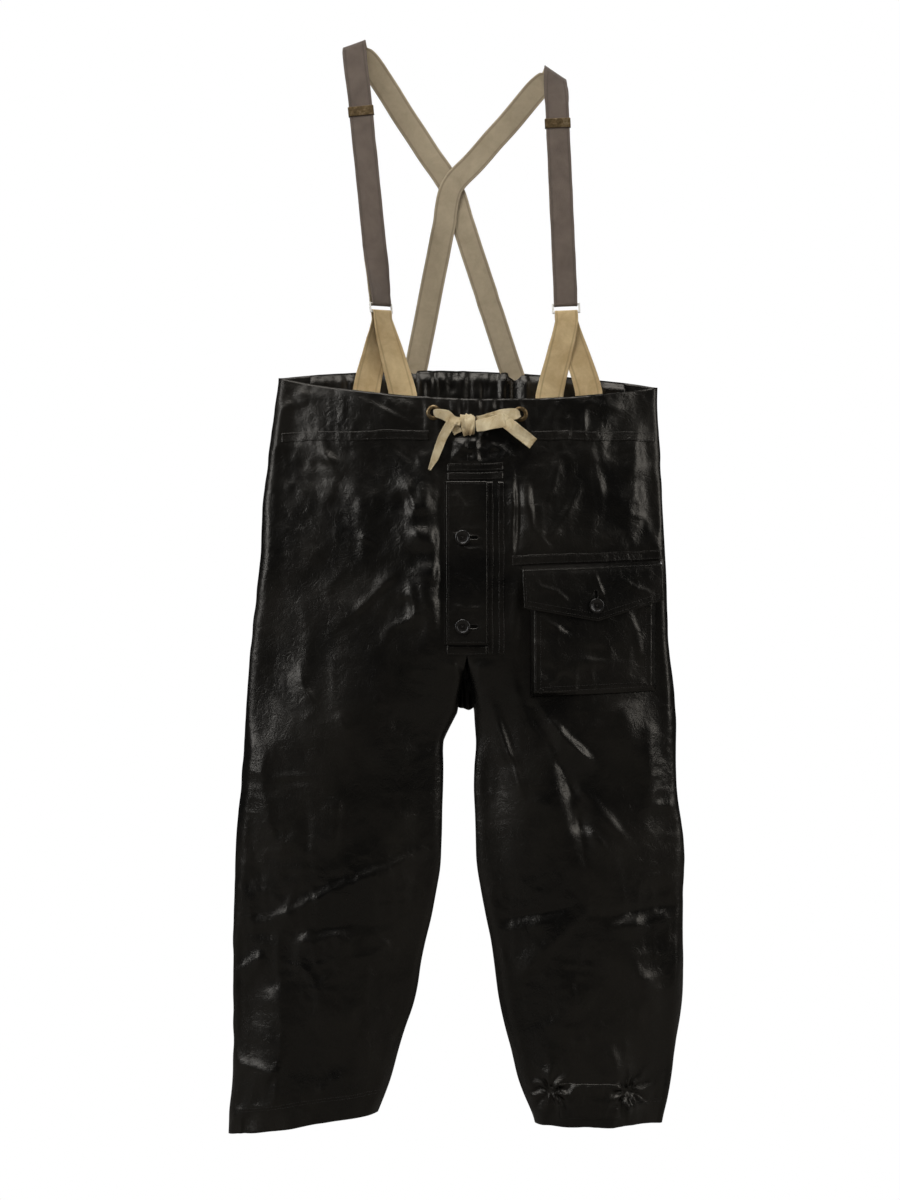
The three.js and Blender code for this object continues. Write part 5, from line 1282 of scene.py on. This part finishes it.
grey_web = webbing_finish("grey_webbing", (0.12, 0.088, 0.066), (0.185, 0.14, 0.108), (0.075, 0.052, 0.038))
bare_web = webbing_finish("undyed_webbing", (0.40, 0.32, 0.205), (0.56, 0.46, 0.31), (0.2, 0.15, 0.09))
tab_web = webbing_finish("cream_tab_tape", (0.56, 0.38, 0.17), (0.82, 0.63, 0.34), (0.40, 0.26, 0.11))
braces = {
    "strap_right": [
        ((71.1, 32.2, -453.6), (0.95, -0.07, 0.31), 32),
        ((62.7, 32.8, -427.6), (0.95, -0.07, 0.31), 32),
        ((20.4, 29.2, -298.8), (0.95, 0, 0.31), 32),
        ((-5.1, 26.6, -221.5), (0.95, 0, 0.31), 32),
        ((-22, 25.6, -170), (0.9, 0, 0.43), 32),
        ((-50.5, 21.4, -127.5), (0.84, 0, 0.55), 32),
        ((-90.4, 15.6, -68), (0.84, 0, 0.55), 32),
        ((-136, 9, 0), (0.9, 0, 0.43), 32),
        ((-152.3, 8, 14.5), (0.94, 0, 0.34), 32, True),
        ((-153.9, 6.5, 18.9), (0.94, 0, 0.34), 32.4, True),
        ((-154.6, 4, 21), (0.94, 0, 0.34), 32.7, True),
        ((-155, 0.8, 22), (0.94, 0, 0.34), 33, True),
        ((-155, -2.5, 21.6), (0.94, 0, 0.34), 33.2, True),
        ((-155, -5.4, 19.8), (0.94, 0, 0.34), 33.5, True),
        ((-155, -7.3, 16.9), (0.94, 0, 0.34), 33.8, True),
        ((-155, -8, 13.5), (0.94, 0, 0.34), 34.1, True),
        ((-147.5, -13.9, -50), (0.99, 0.01, 0.1), 32),
        ((-146.5, -14.6, -59.9), (0.99, 0.01, 0.1), 32),
        ((-137.2, -20.9, -150.4), (0.99, 0.01, 0.1), 32),
        ((-126.3, -28.2, -256.6), (0.99, 0.01, 0.1), 32),
        ((-120.5, -30.1, -299.2), (0.92, 0.4, 0.07), 32),
        ((-117.5, -32.4, -325), (0.78, 0.62, 0.04), 32),
        ((-116.3, -33.2, -336.9), (0.78, 0.62, 0.04), 32),
        ((-116.6, -32.7, -338.9), (0.78, 0.62, 0.04), 32),
        ((-117.7, -31.2, -340), (0.78, 0.62, 0.04), 32),
        ((-119, -29.6, -339.4), (0.78, 0.62, 0.04), 32),
        ((-119.7, -28.8, -337.5), (0.78, 0.62, 0.04), 32),
        ((-120.9, -28, -325.6), (0.78, 0.62, 0.04), 32),
        ((-122, -28.2, -299.5), (0.92, 0.4, 0.07), 32),
        ((-126.3, -26.3, -256.8), (0.99, 0.01, 0.1), 32),
        ((-137.2, -19, -150.6), (0.99, 0.01, 0.1), 32),
        ((-145.1, -13.6, -73.1), (0.99, 0.01, 0.1), 32),
    ],
    "strap_left": [
        ((-78.3, 31.6, -453.8), (0.98, 0.08, -0.19), 32),
        ((-73.2, 32, -427.8), (0.98, 0.08, -0.19), 32),
        ((-47.6, 27.2, -298.9), (0.98, 0, -0.19), 32),
        ((-32.2, 23.9, -221.6), (0.98, 0, -0.19), 32),
        ((-22, 22.5, -170), (0.86, 0, -0.51), 32),
        ((9.1, 19.1, -135.2), (0.65, 0, -0.76), 32),
        ((52.7, 14.4, -86.6), (0.65, 0, -0.76), 32),
        ((102.5, 9, -31), (0.76, 0, -0.65), 32),
        ((115.5, 8, -23.6), (0.83, 0, -0.56), 32, True),
        ((118.2, 6.5, -19.7), (0.83, 0, -0.56), 33.3, True),
        ((119.4, 4, -17.9), (0.83, 0, -0.56), 34.2, True),
        ((120, 0.8, -17), (0.83, 0, -0.56), 35.1, True),
        ((120, -2.5, -17.5), (0.83, 0, -0.56), 36, True),
        ((120, -5.4, -19.5), (0.83, 0, -0.56), 36.8, True),
        ((120, -7.3, -22.7), (0.83, 0, -0.56), 37.7, True),
        ((120, -8, -26.6), (0.83, 0, -0.56), 38.6, True),
        ((121.5, -12.1, -62), (1, 0, 0.04), 32),
        ((121.9, -12.8, -72), (1, 0, 0.04), 32),
        ((125.5, -18.3, -158.2), (1, 0, 0.04), 32),
        ((129.8, -24.9, -260), (1, 0, 0.04), 32),
        ((131.4, -26.8, -299.1), (1, 0, 0.04), 32),
        ((132.5, -29, -325), (1, 0, 0.04), 32),
        ((133, -29.8, -337), (1, 0, 0.04), 32),
        ((133.1, -29.1, -339), (1, 0, 0.04), 32),
        ((133.1, -27.2, -340), (1, 0, 0.04), 32),
        ((133.1, -25.2, -339.3), (1, 0, 0.04), 32),
        ((133, -24.2, -337.4), (1, 0, 0.04), 32),
        ((132.5, -23.4, -325.4), (1, 0, 0.04), 32),
        ((131.4, -24.4, -299.3), (1, 0, 0.04), 32),
        ((129.8, -23, -260.1), (1, 0, 0.04), 32),
        ((125.5, -16.4, -158.4), (1, 0, 0.04), 32),
        ((122.6, -12, -89.1), (1, 0, 0.04), 32),
    ],
}
for name, stops in braces.items():
    piece, _, _ = band(f"{name}_webbing", stops, 1.5, 9, seed=len(name))
    recalculate(piece)
    piece.data.materials.append(grey_web)
    piece.data.materials.append(bare_web)
    on(piece, "trousers", "webbing", name)


# ---- Rings, tabs and slides --------------------------------------------------------------------
# A flat loop of enamelled steel wire hangs in each brace's turn. A cream tape runs through it and down
# to the waist on both sides, and a brass slide with a turned-up end holds each brace's return.
tabs = {
    "ring_tab_right": [
        ((-87.5, -31.1, -474.9), (0.97, -0.09, 0.24), 38),
        ((-87.5, -31.1, -461.9), (0.97, -0.09, 0.24), 38),
        ((-114, -34.7, -360.3), (0.78, 0.62, 0.04), 31),
        ((-115.2, -33.8, -348.4), (0.78, 0.62, 0.04), 31),
        ((-115.9, -33.1, -346.7), (0.78, 0.62, 0.04), 31),
        ((-117.1, -31.6, -346.1), (0.78, 0.62, 0.04), 31),
        ((-118.1, -30.3, -347.1), (0.78, 0.62, 0.04), 31),
        ((-118.4, -29.8, -349), (0.78, 0.62, 0.04), 31),
        ((-117.2, -30.6, -360.9), (0.78, 0.62, 0.04), 31),
        ((-138, -25.1, -457.4), (0.98, -0.14, -0.19), 38),
        ((-138, -25.2, -470.4), (0.98, -0.14, -0.19), 38),
    ],
    "ring_tab_left": [
        ((111, -28.6, -473.1), (0.98, 0.12, -0.19), 38),
        ((111, -28.6, -460.1), (0.98, 0.12, -0.19), 38),
        ((134, -31.1, -360.5), (1, 0, 0.04), 31),
        ((133.5, -30.3, -348.6), (1, 0, 0.04), 31),
        ((133.4, -29.4, -346.8), (1, 0, 0.04), 31),
        ((133.4, -27.6, -346.2), (1, 0, 0.04), 31),
        ((133.4, -25.8, -347), (1, 0, 0.04), 31),
        ((133.5, -25.2, -348.9), (1, 0, 0.04), 31),
        ((134, -25.9, -360.9), (1, 0, 0.04), 31),
        ((164, -20.8, -454.2), (0.96, 0.17, 0.27), 38),
        ((164, -20.9, -467.2), (0.96, 0.17, 0.27), 38),
    ],
}
for name, stops in tabs.items():
    # The feet are sewn in behind the front's cloth.
    stops = [
        ((x, 6.5 - float(on_cloth(-1, x, z)) if z < -455 else y, z), *rest) for (x, y, z), *rest in stops
    ]
    piece, _, _ = band(f"{name}_tape", stops, 1.2, 10, seed=len(name) + 3)
    recalculate(piece)
    piece.data.materials.append(tab_web)
    piece.data.materials.append(tab_web)
    on(piece, "trousers", "cotton_tape", name)

enamel = speckled(
    "ivory_enamel", (210, 6, 0.7),
    [(0.3, (0.35, 0.29, 0.2)), (0.42, (0.80, 0.78, 0.72)), (0.8, (0.93, 0.92, 0.88))], gloss=(0.5, 0.22),
)


def placed(piece, across, out, middle):
    """Stands a piece made flat about the origin, x across and z out, onto a brace."""
    across, out = Vector(across).normalized(), Vector(out).normalized()
    along = out.cross(across).normalized()
    turn = Matrix((across, along, across.cross(along))).transposed().to_4x4()
    piece.data.transform(Matrix.Translation(Vector(middle) * 0.001) @ turn)


def window_frame(name, width, height, wall, depth, round_by):
    """A flat frame: a plate with its middle cut out, and its edges rounded."""
    piece = block(name, (width * 0.001, height * 0.001, depth * 0.001))
    inside = ((width - 2 * wall) * 0.001, (height - 2 * wall) * 0.001, depth * 0.003)
    cut_out(piece, block("window", inside))
    apply(piece, "BEVEL", width=round_by * 0.001, segments=4, limit_method="ANGLE")
    return piece


for side, ring_middle, ring_across, ring_out, slide_middle, slide_across, slide_out in (
    ("right", (-117.4, -31.4, -342.9), (0.78, 0.62, 0.04), (0.61, -0.78, 0.12),
     (-145.1, -14.6, -73.1), (0.995, 0.01, 0.102), (0, -1, 0.07)),
    ("left", (133.2, -27.4, -343), (1, 0, 0.04), (0, -1, 0.06),
     (122.6, -12.9, -89.1), (1, 0, 0.042), (0, -1, 0.064)),
):
    ring = window_frame(f"ring_{side}_wire", 38, 14, 2.4, 2.4, 1.0)
    ring.data.materials.append(enamel)
    placed(ring, ring_across, ring_out, ring_middle)
    pick(ring)
    bpy.ops.object.shade_smooth_by_angle(angle=math.radians(50))
    on(ring, "trousers", "ring_steel", f"ring_{side}")

    sleeve = block(f"slide_{side}_sleeve", (0.035, 0.013, 0.0065))
    cut_out(sleeve, block("window", (0.0326, 0.03, 0.0041)))
    apply(sleeve, "BEVEL", width=0.0005, segments=3, limit_method="ANGLE")
    sleeve.data.materials.append(brass)
    placed(sleeve, slide_across, slide_out, slide_middle)
    on(sleeve, f"slide_{side}", "slide_brass", f"slide_{side}")
    # The free end of the brace hangs out below its slide, with its cut edge turned back.
    across, out = np.array(slide_across, float), np.array(slide_out, float)
    down = np.cross(across, out) / np.linalg.norm(np.cross(across, out))
    down *= -np.sign(down[2])
    stops = [(np.array(slide_middle) + down * t - out * (2.85 + lift), across, wide)
             for t, lift, wide in ((2.5, 0, 31), (8, 0.1, 32), (15, 0.5, 32.4), (22, 0.2, 32.2),
                                   (28.6, -0.6, 31.4))]
    piece, _, _ = band(f"strap_end_{side}_webbing", stops, 1.5, 6, seed=44)
    recalculate(piece)
    piece.data.materials.append(grey_web)
    piece.data.materials.append(bare_web)
    on(piece, f"slide_{side}", "webbing", f"strap_end_{side}")

# Where the braces cross at the back they are sewn together with a boxed cross of thread.
corners = [(-31, -172.2), (-13, -172.2), (-13, -167.8), (-31, -167.8),
           (-31, -172.2), (-13, -167.8), (-31, -167.8), (-13, -172.2)]
line = np.array([(x, 27.6, z) for x, z in corners], float)
share = np.linspace(0, 1, 12)[:, None]
line = np.concatenate([line[k] + (line[k + 1] - line[k]) * share for k in range(7)])
cross = stitches("cross_stitching_thread", [line], (0, 1, 0), 2.2, 2.6, 0.5)
on(cross, "trousers", "thread", "cross_stitching")


# ---- Cuffs -------------------------------------------------------------------------------------
# Each leg ends in a 36 mm hem turned in and double stitched. The left cuff is drawn together at the
# front by a sewn band with a tack at each end.
for side, leg in ((-1, "right"), (1, "left")):
    for face, front_or_back in ((-1, "front"), (1, "back")):
        name = f"hem_{front_or_back}_{leg}"
        s, v = np.meshgrid(np.linspace(0.045, 0.955, 90), np.linspace(0, 1, 14))
        z = cuff + 36 * (1 - v) + 1.2 * v + ((30 * (0.5 - s)) * (0.4 + 0.6 * v) if side < 0 else 0)
        x, y = cloth(face, side, s, z)
        y = face * (np.abs(y) - 1.5 - 1.5 * np.sin(np.pi * v))
        points = np.stack([x, y, z], axis=-1).reshape(-1, 3)
        hem = mesh_piece(f"{name}_cloth", points, grid_faces(s.shape, face * side > 0))
        hem.data.materials.append(black_cloth)
        apply(hem, "SOLIDIFY", thickness=cloth_m, offset=-1)
        on(hem, f"shin_{leg}", "coated_cloth", name)
        t = np.linspace(0.03, 0.97, 140)
        lines = []
        for rise in (34, 30):
            z = cuff + rise + (30 * (0.5 - t) if side < 0 else 0 * t)
            x, y = cloth(face, side, t, z)
            lines.append(np.stack([x, y + face * 0.15, z], axis=-1))
        on(stitches(f"{name}_stitches", lines, (0, face, 0)), f"shin_{leg}", "thread")

u, v = np.meshgrid(np.linspace(0, 1, 60), np.linspace(0, 1, 34))
x = 124 + 84 * u
z = -1392 - 48 * v
cut = leg_cut(1, z)
s_of = (x - cut[1]) / (cut[0] - cut[1])
gather = 1.2 * unevenness(x, z * 0.2, 7, 611) + 0.8 * unevenness(x, z * 0.3, 4.5, 612)
rim = smooth(0, 0.06, u) * smooth(0, 0.06, 1 - u) * smooth(0, 0.1, v) * smooth(0, 0.1, 1 - v)
y = cloth(-1, 1, s_of, z)[1] - 0.5 - (1.3 + 0.5 * gather) * rim - 0.2
points = np.stack([x, y, z], axis=-1).reshape(-1, 3)
cuff_band = mesh_piece("cuff_tab_left_cloth", points, grid_faces(u.shape))
cuff_band.data.materials.append(black_cloth)
apply(cuff_band, "SOLIDIFY", thickness=cloth_m, offset=-1)
on(cuff_band, "shin_left", "coated_cloth", "cuff_tab_left")
for name, x in (("cuff_tack_inner_left", 112.6), ("cuff_tack_outer_left", 217.3)):
    # A tack of close thread over a pinch of the cloth, ten millimetres across.
    turn = np.linspace(-1, 1, 22)
    rows = []
    for k in range(9):
        z = -1402 + (k - 4) * 1.15
        bar = x + 4.6 * turn
        outer, inner = leg_cut(1, np.array(z))[:2]
        out = cloth(-1, 1, (bar - inner) / (outer - inner), 0 * bar + z)[1]
        y = out.min() * 0.5 + out * 0.5 - 0.5 - 1.6 * (1 - turn**2)
        rows.append(np.stack([bar, y, z + 0.5 * np.sin(bar)], axis=-1))
    on(stitches(name + "_thread", rows, (0, -1, 0), 8.8, 9.2, 0.6), "shin_left", "thread", name)
